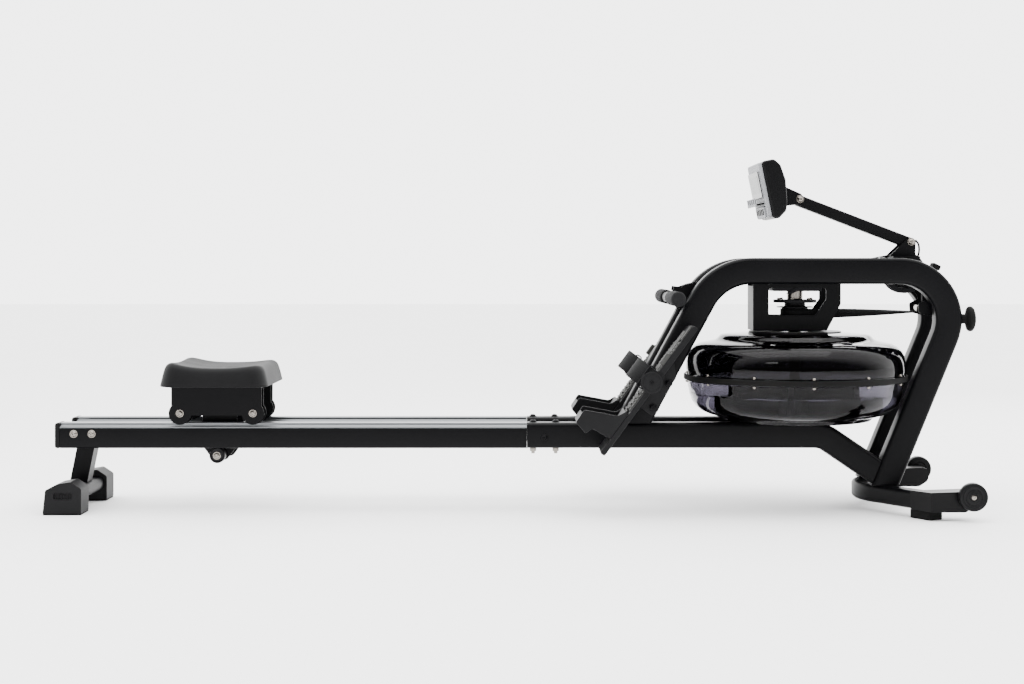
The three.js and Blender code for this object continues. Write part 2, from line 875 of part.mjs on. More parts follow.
// Strap from the drum to the guide, twisting a quarter turn, then round the front pulley
const strapRide = pulleyGroove + gap + strapThickness / 2;
const pullAngle = Math.atan2(handleCentre.z - pulleyCentre.z, handleCentre.x - pulleyCentre.x);
const pullReach = Math.hypot(handleCentre.z - pulleyCentre.z, handleCentre.x - pulleyCentre.x);
const leaveAngle = pullAngle + 2 * Math.PI - Math.acos(strapRide / pullReach);

function strapDrive() {
  const points = [];
  const tangents = [];
  const normals = [];
  const put = (x, y, z, tangent, normal) => {
    points.push(new THREE.Vector3(x, y, z));
    tangents.push(tangent.clone().normalize());
    normals.push(normal.clone().normalize());
  };
  const ride = drumRadius + 6 * gap + strapThickness / 2;
  const under = guideCentre.z - guideRadius - gap - strapThickness / 2;
  const start = new THREE.Vector3(tankX, -ride, (drumZ[0] + drumZ[1]) / 2);
  const end = new THREE.Vector3(guideCentre.x, 0, under);
  const run = end.clone().sub(start);
  const steps = 10;
  for (let i = 0; i <= steps; i++) {
    const t = i / steps;
    const at = start.clone().addScaledVector(run, t);
    const roll = t * Math.PI / 2;
    const width = new THREE.Vector3(0, Math.sin(roll), Math.cos(roll));
    const tangent = i === steps ? new THREE.Vector3(1, 0, 0) : run.clone().normalize();
    width.addScaledVector(tangent, -width.dot(tangent));
    put(at.x, at.y, at.z, tangent, width);
  }
  const guideRide = guideRadius + gap + strapThickness / 2;
  for (let i = 1; i <= 5; i++) {
    const angle = -Math.PI / 2 + i / 5 * Math.PI / 2;
    put(guideCentre.x + guideRide * Math.cos(angle), 0, guideCentre.z + guideRide * Math.sin(angle),
      new THREE.Vector3(-Math.sin(angle), 0, Math.cos(angle)), alongY);
  }
  const wraps = 9;
  for (let i = 0; i <= wraps; i++) {
    const angle = leaveAngle * i / wraps;
    put(pulleyCentre.x + strapRide * Math.cos(angle), 0,
      pulleyCentre.z + strapRide * Math.sin(angle),
      new THREE.Vector3(-Math.sin(angle), 0, Math.cos(angle)), alongY);
  }
  return sweep(roundedRectangle(strapWidth, strapThickness, 0), points, tangents, normals, 1);
}

function strapPull() {
  const leave = new THREE.Vector3(
    pulleyCentre.x + strapRide * Math.cos(leaveAngle), 0,
    pulleyCentre.z + strapRide * Math.sin(leaveAngle));
  const along = new THREE.Vector3(-Math.sin(leaveAngle), 0, Math.cos(leaveAngle));
  const reach = Math.sqrt(pullReach ** 2 - strapRide ** 2) - handleTubeRadius - 8;
  const steps = 8;
  const points = Array.from({ length: steps + 1 }, (_, i) => (
    leave.clone().addScaledVector(along, gap + (reach - gap) * i / steps)));
  return sweep(roundedRectangle(strapWidth, strapThickness, 0), points,
    points.map(() => along), points.map(() => alongY), 1);
}

// ---------------------------------------------------------------- handle

function handleBar() {
  const { x, z } = handleCentre;
  const bar = rodY(x, z, handleTubeRadius, -handleHalfLength, handleHalfLength, 20);
  const lug = extrudeY(roundedRectangle(16, 14, 3, x + handleTubeRadius + 0.5, z + 2.6),
    -strapWidth / 2 - 2, strapWidth / 2 + 2);
  const slotted = lug.subtract(box(x + handleTubeRadius + 6, x + 60, -strapWidth / 2 - gap,
    strapWidth / 2 + gap, z, z + 7));
  return bar.add(slotted);
}

function handleGrip(sign) {
  const { x, z } = handleCentre;
  const bore = handleTubeRadius + gap;
  const low = gripInner;
  const high = handleHalfLength + 4;
  const ring = turnedY([
    [bore, low],
    [gripRadius - 2, low],
    [gripRadius, low + 2],
    [gripRadius, high - 4],
    [gripRadius - 1.5, high - 1],
    [gripRadius - 5, high],
    [0, high],
    [0, handleHalfLength + gap],
    [bore, handleHalfLength + gap],
    [bore, low],
  ], 0, 0, 0, 18);
  const turned = sign > 0 ? ring : ring.mirror([0, 1, 0]);
  return turned.translate([x, 0, z]);
}

// Hooks between the arch tubes that the handle hangs in
function handleRest() {
  const { x, z } = handleCentre;
  const hold = gripRadius + 1.5;
  const hook = new THREE.Shape();
  hook.absarc(x, z, hold, degrees(-62), degrees(72), false);
  hook.lineTo(x + 8, z + 27);
  hook.lineTo(x + 22, z + 25);
  hook.lineTo(x + 42, z + 32);
  hook.lineTo(x + 78, z + 40);
  hook.lineTo(x + 90, z + 20);
  hook.lineTo(x + 62, z - 22);
  hook.lineTo(x + 24, z - 30);
  hook.closePath();
  const half = archInner - gap;
  const plates = sides.map(({ sign }) => extrudeY(hook, sign * 28, sign * 31.5, 6));
  const tie = rodY(x + 60, z, 9, -half, half);
  return joined([...plates, tie]);
}

// ---------------------------------------------------------------- console

function consoleBase() {
  const plate = roundedPolygon([
    [883, archTopZ + archDepth / 2 + 3, 2],
    [945, archTopZ + archDepth / 2 + 3, 2],
    [armFoot.x + 10, armFoot.z + 4, 8],
    [armFoot.x, armFoot.z + 11, 8],
    [armFoot.x - 12, armFoot.z + 4, 8],
  ]);
  const top = archTopZ + archDepth / 2;
  const inside = Math.max(armHalfWidth, pulleyHalfWidth) + 3.5;
  const halves = sides.flatMap(({ sign }) => [
    extrudeY(plate, sign * inside, sign * (inside + cheek)),
    box(883, 945, sign * inside, sign * railY, top + gap, top + cheek),
  ]);
  const pin = rodY(armFoot.x, armFoot.z, pinRadius, -inside - cheek - 3, inside + cheek + 3);
  return joined([...halves, pin]);
}

function consoleArm() {
  const along = new THREE.Vector2(armHead.x - armFoot.x, armHead.z - armFoot.z);
  const heading = along.angle();
  const half = armThickness / 2;
  const dropX = -armDrop * Math.abs(Math.sin(heading));
  const dropZ = -armDrop * Math.abs(Math.cos(heading));
  const shape = new THREE.Shape();
  shape.absarc(armFoot.x + dropX, armFoot.z + dropZ, half,
    heading + Math.PI / 2, heading + 1.5 * Math.PI, false);
  shape.absarc(armHead.x + dropX, armHead.z + dropZ, half,
    heading - Math.PI / 2, heading + Math.PI / 2, false);
  shape.closePath();
  shape.holes.push(circle(armFoot.x, armFoot.z, pinRadius + runningGap));
  shape.holes.push(circle(armHead.x, armHead.z, pinRadius + runningGap));
  return extrudeY(shape, -armHalfWidth, armHalfWidth, 8);
}

// The console leans back: its pieces are drawn upright round the middle of its front face
const consoleLean = 11.4;
const consoleFace = { x: 589.5, z: 736 };

function leaned(piece) {
  return piece.rotate([0, -consoleLean, 0]).translate([consoleFace.x, 0, consoleFace.z]);
}

function consoleShell() {
  const half = consoleHalfWidth;
  const body = extrudeY(roundedPolygon([
    [gap, -66, 8],
    [14, -70, 8],
    [34, -56, 6],
    [40, -40, 4],
    [47, 14, 8],
    [42, 50, 10],
    [30, 66, 8],
    [gap, 66, 8],
  ]), -half, half);
  const hollow = box(-1, 27, -half + 3, half - 3, -56, 54);
  const shell = leaned(body.subtract(hollow));
  const inside = armHalfWidth + 1.2;
  const neck = roundedPolygon([
    [consoleFace.x + 30, 757],
    [armHead.x + 2, armHead.z + 13, 6],
    [armHead.x + 12, armHead.z, 6],
    [armHead.x - 3, armHead.z - 11, 6],
    [consoleFace.x + 40, 700],
  ]);
  const plates = sides.map(({ sign }) => extrudeY(neck, sign * inside, sign * (inside + cheek)));
  const pin = rodY(armHead.x, armHead.z, pinRadius, -inside - cheek - 3, inside + cheek + 3);
  return joined([shell, ...plates, pin]);
}

function consoleBezel() {
  const half = consoleHalfWidth - 2;
  const face = -bezelDepth;
  const plate = extrudeY(roundedPolygon([
    [face, -64, 4],
    [0, -64, 0],
    [0, 64, 0],
    [face, 64, 4],
  ]), -half, half);
  const housing = box(face - housingDepth, face + 1, -screenHalfWidth - 2, screenHalfWidth + 2,
    screenZ[0] - 1, screenZ[1] + 1);
  const keys = box(face - keypadDepth, face + 1, -keypadHalfWidth, keypadHalfWidth, ...keypadZ);
  return leaned(joined([plate, housing, keys]));
}

function consoleScreen() {
  const back = -bezelDepth - housingDepth - gap;
  return leaned(box(back - screenDepth, back, -screenHalfWidth, screenHalfWidth, ...screenZ));
}

function tabletLedge() {
  const back = -bezelDepth - gap;
  const [low, high] = ledgeZ;
  const lip = extrudeY(roundedPolygon([
    [back, low],
    [back, high],
    [-ledgeReach + 5, high],
    [-ledgeReach + 3, high + ledgeLip, 1],
    [-ledgeReach, high + ledgeLip, 1],
    [-ledgeReach + 1, low - 1, 2],
    [-ledgeReach + 5, low],
  ]), -ledgeHalfWidth, ledgeHalfWidth);
  return leaned(lip);
}

function consoleCable() {
  const curve = new THREE.CatmullRomCurve3([
    new THREE.Vector3(armFoot.x + 15, 0, armFoot.z + 4),
    new THREE.Vector3(armFoot.x + 23, 4, armFoot.z - 6),
    new THREE.Vector3(armFoot.x + 27, 16, armFoot.z - 22),
    new THREE.Vector3(armFoot.x + 27, 30, armFoot.z - 36),
    new THREE.Vector3(armFoot.x + 26, 40, armFoot.z - 50),
  ]);
  const section = roundedRectangle(4.8, 4.8, 1.4);
  return solid(new THREE.ExtrudeGeometry(section,
    { steps: 12, extrudePath: curve, curveSegments: 1 }));
}

// ---------------------------------------------------------------- seat

// Height of the sitting surface at a point: dished, with a ridge along the front and the rear
function seatTop(x, y) {
  const wing = Math.min(1, Math.abs(y) / seatWing) ** 2;
  const lip = Math.min(1, Math.abs(x - seatX) / seatRidge) ** 2.5;
  const ridgeRise = x < seatX ? seatRearRise : seatFrontRise;
  return seatMiddle + seatWingRise * wing + ridgeRise * lip;
}

// Rings from the underside up the skirt and over the rim to the dished middle
function seatPad() {
  const around = 44;
  const plan = roundedRectangle(seatLength, 2 * seatHalfWidth, seatCorner)
    .getSpacedPoints(around).slice(0, around);
  const rings = [
    { inset: seatUndercut, lift: 0 },
    { inset: 0, lift: 0.1 },
    { inset: seatRim * 0.2, lift: 0.5 },
    { inset: seatRim * 0.42, lift: 0.8 },
    { inset: seatRim * 0.66, lift: 0.95 },
    { inset: seatRim, lift: 1 },
    { inset: seatRim * 1.7, lift: 1 },
    { inset: seatRim * 2.6, lift: 1 },
    { inset: seatRim * 3.7, lift: 1 },
  ];
  const vertices = [];
  const index = [];
  for (const { inset, lift } of rings) {
    for (const point of plan) {
      const x = seatX + point.x * (1 - 2 * inset / seatLength);
      const y = point.y * (1 - inset / seatHalfWidth);
      vertices.push(x, y, seatBottom + (seatTop(x, y) - seatBottom) * lift);
    }
  }
  for (let ring = 0; ring + 1 < rings.length; ring++) {
    for (let i = 0; i < around; i++) {
      const a = ring * around + i;
      const b = ring * around + (i + 1) % around;
      index.push(a, b, b + around, a, b + around, a + around);
    }
  }
  const bottom = vertices.length / 3;
  vertices.push(seatX, 0, seatBottom, seatX, 0, seatTop(seatX, 0));
  const last = (rings.length - 1) * around;
  for (let i = 0; i < around; i++) {
    const next = (i + 1) % around;
    index.push(bottom, next, i, bottom + 1, last + i, last + next);
  }
  const geometry = new THREE.BufferGeometry();
  geometry.setAttribute('position', new THREE.Float32BufferAttribute(vertices, 3));
  geometry.setIndex(index);
  return solid(geometry);
}

const rollerAxleZ = beamTop + gap + rollerRadius;
const keeperAxleZ = beamBottom - gap - keeperRadius;

function seatCarriage() {
  const half = carriageHalfLength;
  const outline = carriageSide();
  const channel = [channelCentre - channelWidth / 2, channelCentre + channelWidth / 2];
  const plates = sides.flatMap(({ sign }) => [
    extrudeY(outline, sign * channel[0], sign * (channel[0] + 2.5), 4),
    extrudeY(outline, sign * (channel[1] - 2.5), sign * channel[1], 4),
  ]);
  const top = box(seatX - half, seatX + half, -channel[1], channel[1], carriageTop - 3, carriageTop);
  const axles = sides.flatMap(({ sign }) => [-rollerAxleX, rollerAxleX].map((offset) => (
    rodY(seatX + offset, rollerAxleZ, rollerAxleRadius, sign * channel[0], sign * channel[1], 8))));
  const drop = roundedPolygon([
    [seatX - 40, carriageTop - 1, 0],
    [seatX - 40, beamBottom, 6],
    [seatX - 16, keeperAxleZ - 14, 12],
    [seatX + 16, keeperAxleZ - 14, 12],
    [seatX + 40, beamBottom, 6],
    [seatX + 40, carriageTop - 1, 0],
  ]);
  const hangers = sides.map(({ sign }) => (
    extrudeY(drop, sign * (hangerOuter - hangerPlate), sign * hangerOuter)
  ));
  const keeperEnd = keeperCentre + keeperWidth / 2 + 3;
  const axle = rodY(seatX, keeperAxleZ, rollerAxleRadius, -keeperEnd, keeperEnd, 12);
  return joined([...plates, top, ...axles, ...hangers, axle]);
}

// Side plate of the carriage: a straight plate with a round ear over each roller
function carriageSide() {
  const half = carriageHalfLength;
  const floor = beamTop + 16;
  const drop = Math.sqrt(earRadius ** 2 - (rollerAxleZ - floor) ** 2);
  const dip = Math.asin((rollerAxleZ - floor) / earRadius);
  const shape = new THREE.Shape();
  const rear = seatX - rollerAxleX;
  const front = seatX + rollerAxleX;
  shape.moveTo(rear + drop, floor);
  shape.lineTo(front - drop, floor);
  shape.absarc(front, rollerAxleZ, earRadius, Math.PI + dip, 2 * Math.PI + 0.7, false);
  shape.lineTo(seatX + half, carriageTop);
  shape.lineTo(seatX - half, carriageTop);
  shape.absarc(rear, rollerAxleZ, earRadius, Math.PI - 0.7, 2 * Math.PI - dip, false);
  shape.closePath();
  return shape;
}

function seatRoller(x, sign) {
  const half = rollerWidth / 2;
  const bore = rollerAxleRadius + runningGap;
  return turnedY([
    [bore, -half],
    [rollerRadius - 2, -half],
    [rollerRadius, -half + 2],
    [rollerRadius, half - 2],
    [rollerRadius - 2, half],
    [bore, half],
    [bore, -half],
  ], x, sign * channelCentre, rollerAxleZ, 20);
}

function keeperRoller(sign) {
  const half = keeperWidth / 2;
  const bore = rollerAxleRadius + runningGap;
  return turnedY([
    [bore, -half],
    [keeperRadius - 2, -half],
    [keeperRadius, -half + 2],
    [keeperRadius, half - 2],
    [keeperRadius - 2, half],
    [bore, half],
    [bore, -half],
  ], seatX, sign * keeperCentre, keeperAxleZ, 20);
}

// ---------------------------------------------------------------- footrests

const slopeLength = Math.hypot(footrestHead.x - footrestFoot.x, footrestHead.z - footrestFoot.z);
const slopeX = (footrestHead.x - footrestFoot.x) / slopeLength;
const slopeZ = (footrestHead.z - footrestFoot.z) / slopeLength;

// A point s along the slope from the lower end and n above the plate's underside
function onSlope([s, n, ...rest]) {
  return [
    footrestFoot.x + s * slopeX - n * slopeZ,
    footrestFoot.z + s * slopeZ + n * slopeX,
    ...rest,
  ];
}

function slopePiece(points, y0, y1, radius = 0) {
  return extrudeY(roundedPolygon(points.map(onSlope), radius), y0, y1);
}

const restInner = footrestCentre - footrestWidth / 2;
const restOuter = footrestCentre + footrestWidth / 2;

function footplate(sign) {
  const end = slopeLength;
  const t = footplateThickness;
  const slab = slopePiece([[0, 0, 3], [end, 0, 5], [end, t, 5], [0, t, 2]],
    sign * restInner, sign * restOuter);
  const padTop = t + solePadHeight;
  const pad = [[150, t - 1], [156, padTop, 2], [296, padTop, 2], [302, t - 1]];
  const channel = heelStripHalfWidth + 2;
  const pads = [
    slopePiece(pad, sign * (restInner + 2), sign * (footrestCentre - channel)),
    slopePiece(pad, sign * (footrestCentre + channel), sign * (restOuter - 2)),
  ];
  const mount = slopePiece([[134, -6], [134, -34, 4], [150, -38, 6], [206, -28, 6], [234, -27, 6],
    [255, -6]], sign * (archOuter + gap), sign * (restOuter - 20));
  const riser = slopePiece([[134, 1], [134, -7], [254, -7], [262, 1]],
    sign * (restInner + 1), sign * (restOuter - 20));
  const lugCentre = onSlope([(footStrapAt[0] + footStrapAt[1]) / 2, 2]);
  const lug = extrudeY(circle(...lugCentre, 19), sign * (restOuter - 3),
    sign * (restOuter + 1), 6);
  return joined([slab, ...pads, riser, mount, lug]);
}

function heelSlide(sign) {
  const base = footplateThickness + gap;
  const top = base + heelStripHeight;
  const strip = slopePiece([[60, base], [330, base, 3], [330, top, 3], [60, top]],
    sign * (footrestCentre - heelStripHalfWidth), sign * (footrestCentre + heelStripHalfWidth));
  const floor = slopePiece([[38, base], [107, base], [107, top], [38, top]],
    sign * restInner, sign * restOuter);
  const shelf = slopePiece([[15.7, 63.8], [33.6, 57.2, 4], [38, base], [48, base], [45, 60, 4],
    [46, 96], [22.9, 95.2, 3]], sign * restInner, sign * restOuter);
  const cup = [[15.7, 63.8], [33.6, 57.2, 4], [38, base], [107, base], [106, 21, 3], [90, 28, 8],
    [56.4, 97, 3], [22.9, 95.2, 3]];
  const cheeks = [
    slopePiece(cup, sign * restInner, sign * (restInner + heelCheek)),
    slopePiece(cup, sign * (restOuter - heelCheek), sign * restOuter),
  ];
  const holes = Array.from({ length: 5 }, (_, i) => {
    const [x, z] = onSlope([250 + 16 * i, top]);
    const geometry = new THREE.CylinderGeometry(3.5, 3.5, 30, 8);
    geometry.rotateZ(Math.atan2(slopeZ, slopeX));
    geometry.translate(x, sign * footrestCentre, z);
    return solid(geometry);
  });
  return holes.reduce((piece, hole) => piece.subtract(hole), joined([strip, floor, shelf, ...cheeks]));
}

// Webbing loop over the foot, from one edge of the plate to the other
function footStrap(sign) {
  const half = footrestWidth / 2 + 5;
  const low = -4;
  const shoulder = footplateThickness + 8;
  const rise = footStrapHeight - shoulder;
  const shape = new THREE.Shape();
  shape.moveTo(half, low);
  shape.lineTo(half, shoulder);
  shape.absellipse(0, shoulder, half, rise, 0, Math.PI, false);
  shape.lineTo(-half, low);
  shape.lineTo(-half + footStrapThickness, low);
  shape.lineTo(-half + footStrapThickness, shoulder);
  shape.absellipse(0, shoulder, half - footStrapThickness, rise - footStrapThickness,
    Math.PI, 0, true);
  shape.lineTo(half - footStrapThickness, low);
  shape.closePath();
  const geometry = new THREE.ExtrudeGeometry(shape,
    { depth: footStrapAt[1] - footStrapAt[0], bevelEnabled: false, curveSegments: 16 });
  geometry.applyMatrix4(new THREE.Matrix4().makeBasis(
    alongY,
    new THREE.Vector3(-slopeZ, 0, slopeX),
    new THREE.Vector3(slopeX, 0, slopeZ)));
  const [x, z] = onSlope([footStrapAt[0], 0]);
  geometry.translate(x, sign * footrestCentre, z);
  return solid(geometry);
}

// ---------------------------------------------------------------- the machine

for (const { name, sign } of sides) {
  add(`arch_tube_${name}`, archTube(sign), 'powderCoat');
  add(`front_beam_${name}`, frontBeam(sign), 'powderCoat');
  add(`front_end_cap_${name}`, frontEndCap(sign), 'darkPlastic');
  add(`transport_wheel_${name}`, transportWheel(sign), 'plastic');
  add(`front_pad_${name}`, frontPad(sign), 'rubber');
  add(`storage_bumper_${name}`, storageBumper(sign), 'rubber');
  add(`rail_tube_${name}`, railTube(sign), 'powderCoat');
  add(`rail_track_${name}`, railTrack(sign), 'aluminium');
  add(`rail_end_cap_${name}`, railEndCap(sign), 'darkPlastic');
  add(`rear_foot_cap_${name}`, rearFootCap(sign), 'plastic');
  add(`handle_grip_${name}`, handleGrip(sign), 'foam');
  add(`seat_roller_rear_${name}`, seatRoller(seatX - rollerAxleX, sign), 'roller');
  add(`seat_roller_front_${name}`, seatRoller(seatX + rollerAxleX, sign), 'roller');
  add(`keeper_roller_${name}`, keeperRoller(sign), 'roller');
  add(`footplate_${name}`, footplate(sign), 'plastic');
  add(`heel_slide_${name}`, heelSlide(sign), 'plastic');
  add(`foot_strap_${name}`, footStrap(sign), 'webbing');
}

add('front_foot_tube', frontFoot(), 'powderCoat');
add('rear_leg', rearLeg(), 'powderCoat');
add('rear_foot_tube', rearFootTube(), 'powderCoat');
add('tank_upper', tankUpper(), 'polycarbonate');
add('tank_lower', tankLower(), 'polycarbonate');
add('impeller', impeller(), 'darkPlastic');
add('drive_bracket', driveBracket(), 'powderCoat');
add('strap_drum', strapDrum(), 'darkPlastic');
add('front_pulley', frontPulley(), 'darkPlastic');
add('guide_roller', guideRoller(), 'steel');
add('pulley_frame', pulleyFrame(), 'powderCoat');
add('drive_strap', strapDrive(), 'webbing');
add('pull_strap', strapPull(), 'webbing');
add('handle_bar', handleBar(), 'powderCoat');
add('handle_rest', handleRest(), 'powderCoat');
add('console_base', consoleBase(), 'powderCoat');
add('console_arm', consoleArm(), 'powderCoat');
add('console_shell', consoleShell(), 'darkPlastic');
add('console_bezel', consoleBezel(), 'lightPlastic');
add('console_screen', consoleScreen(), 'glass');
add('tablet_ledge', tabletLedge(), 'lightPlastic');
add('console_cable', consoleCable(), 'rubber');
add('seat_pad', seatPad(), 'seatSkin');
add('seat_carriage', seatCarriage(), 'powderCoat');

export default rowingMachine;
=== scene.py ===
import math

import bmesh
import bpy
from mathutils import Matrix, Vector


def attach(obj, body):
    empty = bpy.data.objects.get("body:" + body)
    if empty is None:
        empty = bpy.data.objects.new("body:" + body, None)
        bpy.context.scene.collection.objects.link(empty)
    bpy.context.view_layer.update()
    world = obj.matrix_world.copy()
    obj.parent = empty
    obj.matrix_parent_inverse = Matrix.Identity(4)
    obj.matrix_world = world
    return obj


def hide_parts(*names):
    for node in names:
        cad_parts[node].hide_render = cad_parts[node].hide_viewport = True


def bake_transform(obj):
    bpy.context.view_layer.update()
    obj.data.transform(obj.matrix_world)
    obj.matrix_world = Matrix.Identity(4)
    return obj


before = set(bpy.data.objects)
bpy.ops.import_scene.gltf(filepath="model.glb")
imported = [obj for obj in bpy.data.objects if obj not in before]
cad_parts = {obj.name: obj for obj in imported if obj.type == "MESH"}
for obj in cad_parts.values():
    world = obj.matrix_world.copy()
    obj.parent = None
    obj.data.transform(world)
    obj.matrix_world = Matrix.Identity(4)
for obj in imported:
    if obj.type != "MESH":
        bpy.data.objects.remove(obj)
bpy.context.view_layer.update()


# ---- Studio ---------------------------------------------------------------------------
# A plain pale floor under a large softbox, two side panels and a white surround. The
# camera stands square to the near side, a little above the water tank.

def linear(colour):
    """An sRGB hex colour as linear red, green, blue and alpha."""
    channels = [int(colour[i:i + 2], 16) / 255 for i in (1, 3, 5)]
    return [c / 12.92 if c <= 0.04045 else ((c + 0.055) / 1.055) ** 2.4 for c in channels] + [1]


def add_node(material, kind, settings, links):
    """Adds a node: settings name its properties or sockets, links name sockets to feed."""
    tree = material.node_tree
    made = tree.nodes.new(kind)
    for key, value in settings.items():
        if key in made.inputs:
            made.inputs[key].default_value = value
        else:
            setattr(made, key, value)
    for key, output in links.items():
        tree.links.new(output, made.inputs[key])
    return made


def own_place(material):
    """Where each point lies in its own piece, in metres."""
    return add_node(material, "ShaderNodeTexCoord", {}, {}).outputs["Object"]


def noise(material, place, scale, detail):
    """Soft cloudy noise between 0 and 1."""
    made = add_node(material, "ShaderNodeTexNoise", {"Scale": scale, "Detail": detail},
                    {"Vector": place})
    return made.outputs["Fac"]


def spread(material, value, low, high):
    """A value between 0 and 1, laid out between low and high."""
    made = add_node(material, "ShaderNodeMapRange", {"To Min": low, "To Max": high},
                    {"Value": value})
    return made.outputs["Result"]


def relief(material, height, strength, distance):
    """A bumped normal; distance in metres."""
    made = add_node(material, "ShaderNodeBump", {"Strength": strength, "Distance": distance},
                    {"Height": height})
    return made.outputs["Normal"]


def two_tones(material, colours, factor):
    """Two sRGB colours mixed by a factor; returns the colour output."""
    mix = add_node(material, "ShaderNodeMix", {"data_type": "RGBA"}, {"Factor": factor})
    mix.inputs[6].default_value = linear(colours[0])
    mix.inputs[7].default_value = linear(colours[1])
    return mix.outputs[2]


def surface(material, settings, links):
    """Gives the material a principled surface and connects it to the output."""
    body = add_node(material, "ShaderNodeBsdfPrincipled", settings, links)
    add_node(material, "ShaderNodeOutputMaterial", {}, {"Surface": body.outputs["BSDF"]})


def new_material(name):
    material = bpy.data.materials.new(name)
    material.use_nodes = True
    material.node_tree.nodes.clear()
    return material


def clear_selection():
    if bpy.context.object and bpy.context.object.mode == "EDIT":
        bpy.ops.object.mode_set(mode="OBJECT")
    bpy.ops.object.select_all(action="DESELECT")


def pick(piece):
    """Makes the piece the only one selected, and the active one."""
    clear_selection()
    piece.select_set(True)
    bpy.context.view_layer.objects.active = piece


floor_colours = ("#fafafa", "#fefefe")

# Painted studio floor: matt, with the faintest unevenness from the roller
studio_floor = new_material("painted_studio_floor")
place_on = own_place(studio_floor)
patches = noise(studio_floor, place_on, 1.5, 3.0)
tone = two_tones(studio_floor, floor_colours, patches)
surface(studio_floor, {"Roughness": 0.85, "Specular IOR Level": 0.2}, {"Base Color": tone})

clear_selection()
bpy.ops.mesh.primitive_plane_add(size=40)
floor = bpy.context.object
floor.name = "studio_floor"
floor.data.materials.append(studio_floor)

world = bpy.data.worlds.new("white_surround")
bpy.context.scene.world = world
world.use_nodes = True
world.node_tree.nodes["Background"].inputs["Color"].default_value = (1, 1, 1, 1)
# The surround is bright behind and above the machine and flagged dark in front of it
toward = add_node(world, "ShaderNodeTexCoord", {}, {})
facing = add_node(world, "ShaderNodeVectorMath", {"operation": "DOT_PRODUCT"}, {})
world.node_tree.links.new(toward.outputs["Generated"], facing.inputs[0])
facing.inputs[1].default_value = (0, 1, 0.9)
flagged = add_node(world, "ShaderNodeMapRange",
                   {"From Min": -0.35, "From Max": 0.22, "To Min": 0.3, "To Max": 4.6},
                   {"Value": facing.outputs["Value"]})
world.node_tree.links.new(flagged.outputs["Result"],
                          world.node_tree.nodes["Background"].inputs["Strength"])

lamps = (
    # name, place, aimed at, width, height, watts
    ("overhead_softbox", (0.1, -0.6, 3.2), (0.1, 0.0, 0.2), 3.4, 2.0, 80),
    ("front_panel", (-1.6, -3.4, 2.2), (0.1, 0.0, 0.3), 0.9, 0.5, 14),
    ("rim_panel", (1.8, 2.4, 2.0), (0.2, 0.0, 0.4), 1.4, 1.4, 30),
)
for name, place, aim, width, height, watts in lamps:
    light = bpy.data.lights.new(name, "AREA")
    light.shape = "RECTANGLE"
    light.size = width
    light.size_y = height
    light.energy = watts
    lamp = bpy.data.objects.new(name, light)
    bpy.context.collection.objects.link(lamp)
    lamp.location = place
    lamp.rotation_euler = (Vector(aim) - Vector(place)).to_track_quat("-Z", "Y").to_euler()

camera_data = bpy.data.cameras.new("side_camera")
camera_data.lens = 58.57
camera_data.sensor_width = 36
camera_data.shift_x = -0.0121
camera_data.shift_y = -0.0753
camera = bpy.data.objects.new("side_camera", camera_data)
camera.location = (0.025, -3.9, 0.564)
camera.rotation_euler = (math.pi / 2, 0, 0)
bpy.context.collection.objects.link(camera)
bpy.context.scene.camera = camera


# ---- Steel frame tubes ----------------------------------------------------------------
# Twin arches, front beams and the bent front foot are rectangular mild-steel tube, bent
# round a die, cut to fit and MIG-welded, then powder coated satin black as one frame.

datum = 10.165  # the rail coupling's datum lies this many mm ahead of the frame's middle
rail_y = 71.5
tube_width = 48
arch_depth = 60
tube_corner = 9
beam_top = 203
beam_height = 58
post_angle = math.radians(67.8)
post_point = (863, 66)
rear_angle = math.radians(61.5)
rear_point = (363.6, 336)
arch_top = 550
rear_bend = 130
post_bend = 111
front_slope = math.radians(34.2)
front_bend_x = 719
foot_top = 60.3
foot_apex_x = 801
foot_spread = 0.659
weld_bead = 2.6
coat_colours = ("#040405", "#08080a")


def at(x, y, z):
    """A point measured in millimetres from the coupling datum, in metres in the frame."""
    return Vector(((x - datum) / 1000, y / 1000, z / 1000))


def rounded(points, radius, steps=6):
    """A closed outline with its corners rounded; a point may carry its own radius."""
    outline = []
    for i, point in enumerate(points):
        corner = Vector(point[:2])
        to_last = Vector(points[i - 1][:2]) - corner
        to_next = Vector(points[(i + 1) % len(points)][:2]) - corner
        own = point[2] if len(point) > 2 else radius
        half = to_last.angle(to_next) / 2
        reach = min(own / math.tan(half), 0.48 * to_last.length, 0.48 * to_next.length)
        if reach < 0.01:
            outline.append(corner)
            continue
        middle = corner + (to_last.normalized() + to_next.normalized()).normalized() * (
            reach / math.cos(half))
        start = corner + to_last.normalized() * reach - middle
        turn = start.angle_signed(corner + to_next.normalized() * reach - middle)
        for k in range(steps + 1):
            outline.append(middle + Matrix.Rotation(-turn * k / steps, 2) @ start)
    return outline


def rounded_rectangle(width, height, radius, steps=6):
    x, y = width / 2, height / 2
    return rounded([(-x, -y), (x, -y), (x, y), (-x, y)], radius, steps)


def draw(name, points, closed=True):
    """Draws a chain of edges in edit mode, one vertex extruded after another."""
    clear_selection()
    bpy.ops.mesh.primitive_plane_add(size=0.001, enter_editmode=True, location=points[0])
    bpy.context.object.name = name
    bpy.context.object.data.name = name
    bpy.ops.mesh.merge(type="CENTER")
    stops = list(points) + ([points[0]] if closed else [])
    for before, after in zip(stops, stops[1:]):
        bpy.ops.mesh.extrude_region_move(TRANSFORM_OT_translate={"value": after - before})
    bpy.ops.mesh.select_all(action="SELECT")
    bpy.ops.mesh.remove_doubles(threshold=1e-6)
    return bpy.context.object


def push(step):
    bpy.ops.mesh.extrude_region_move(TRANSFORM_OT_translate={"value": step})


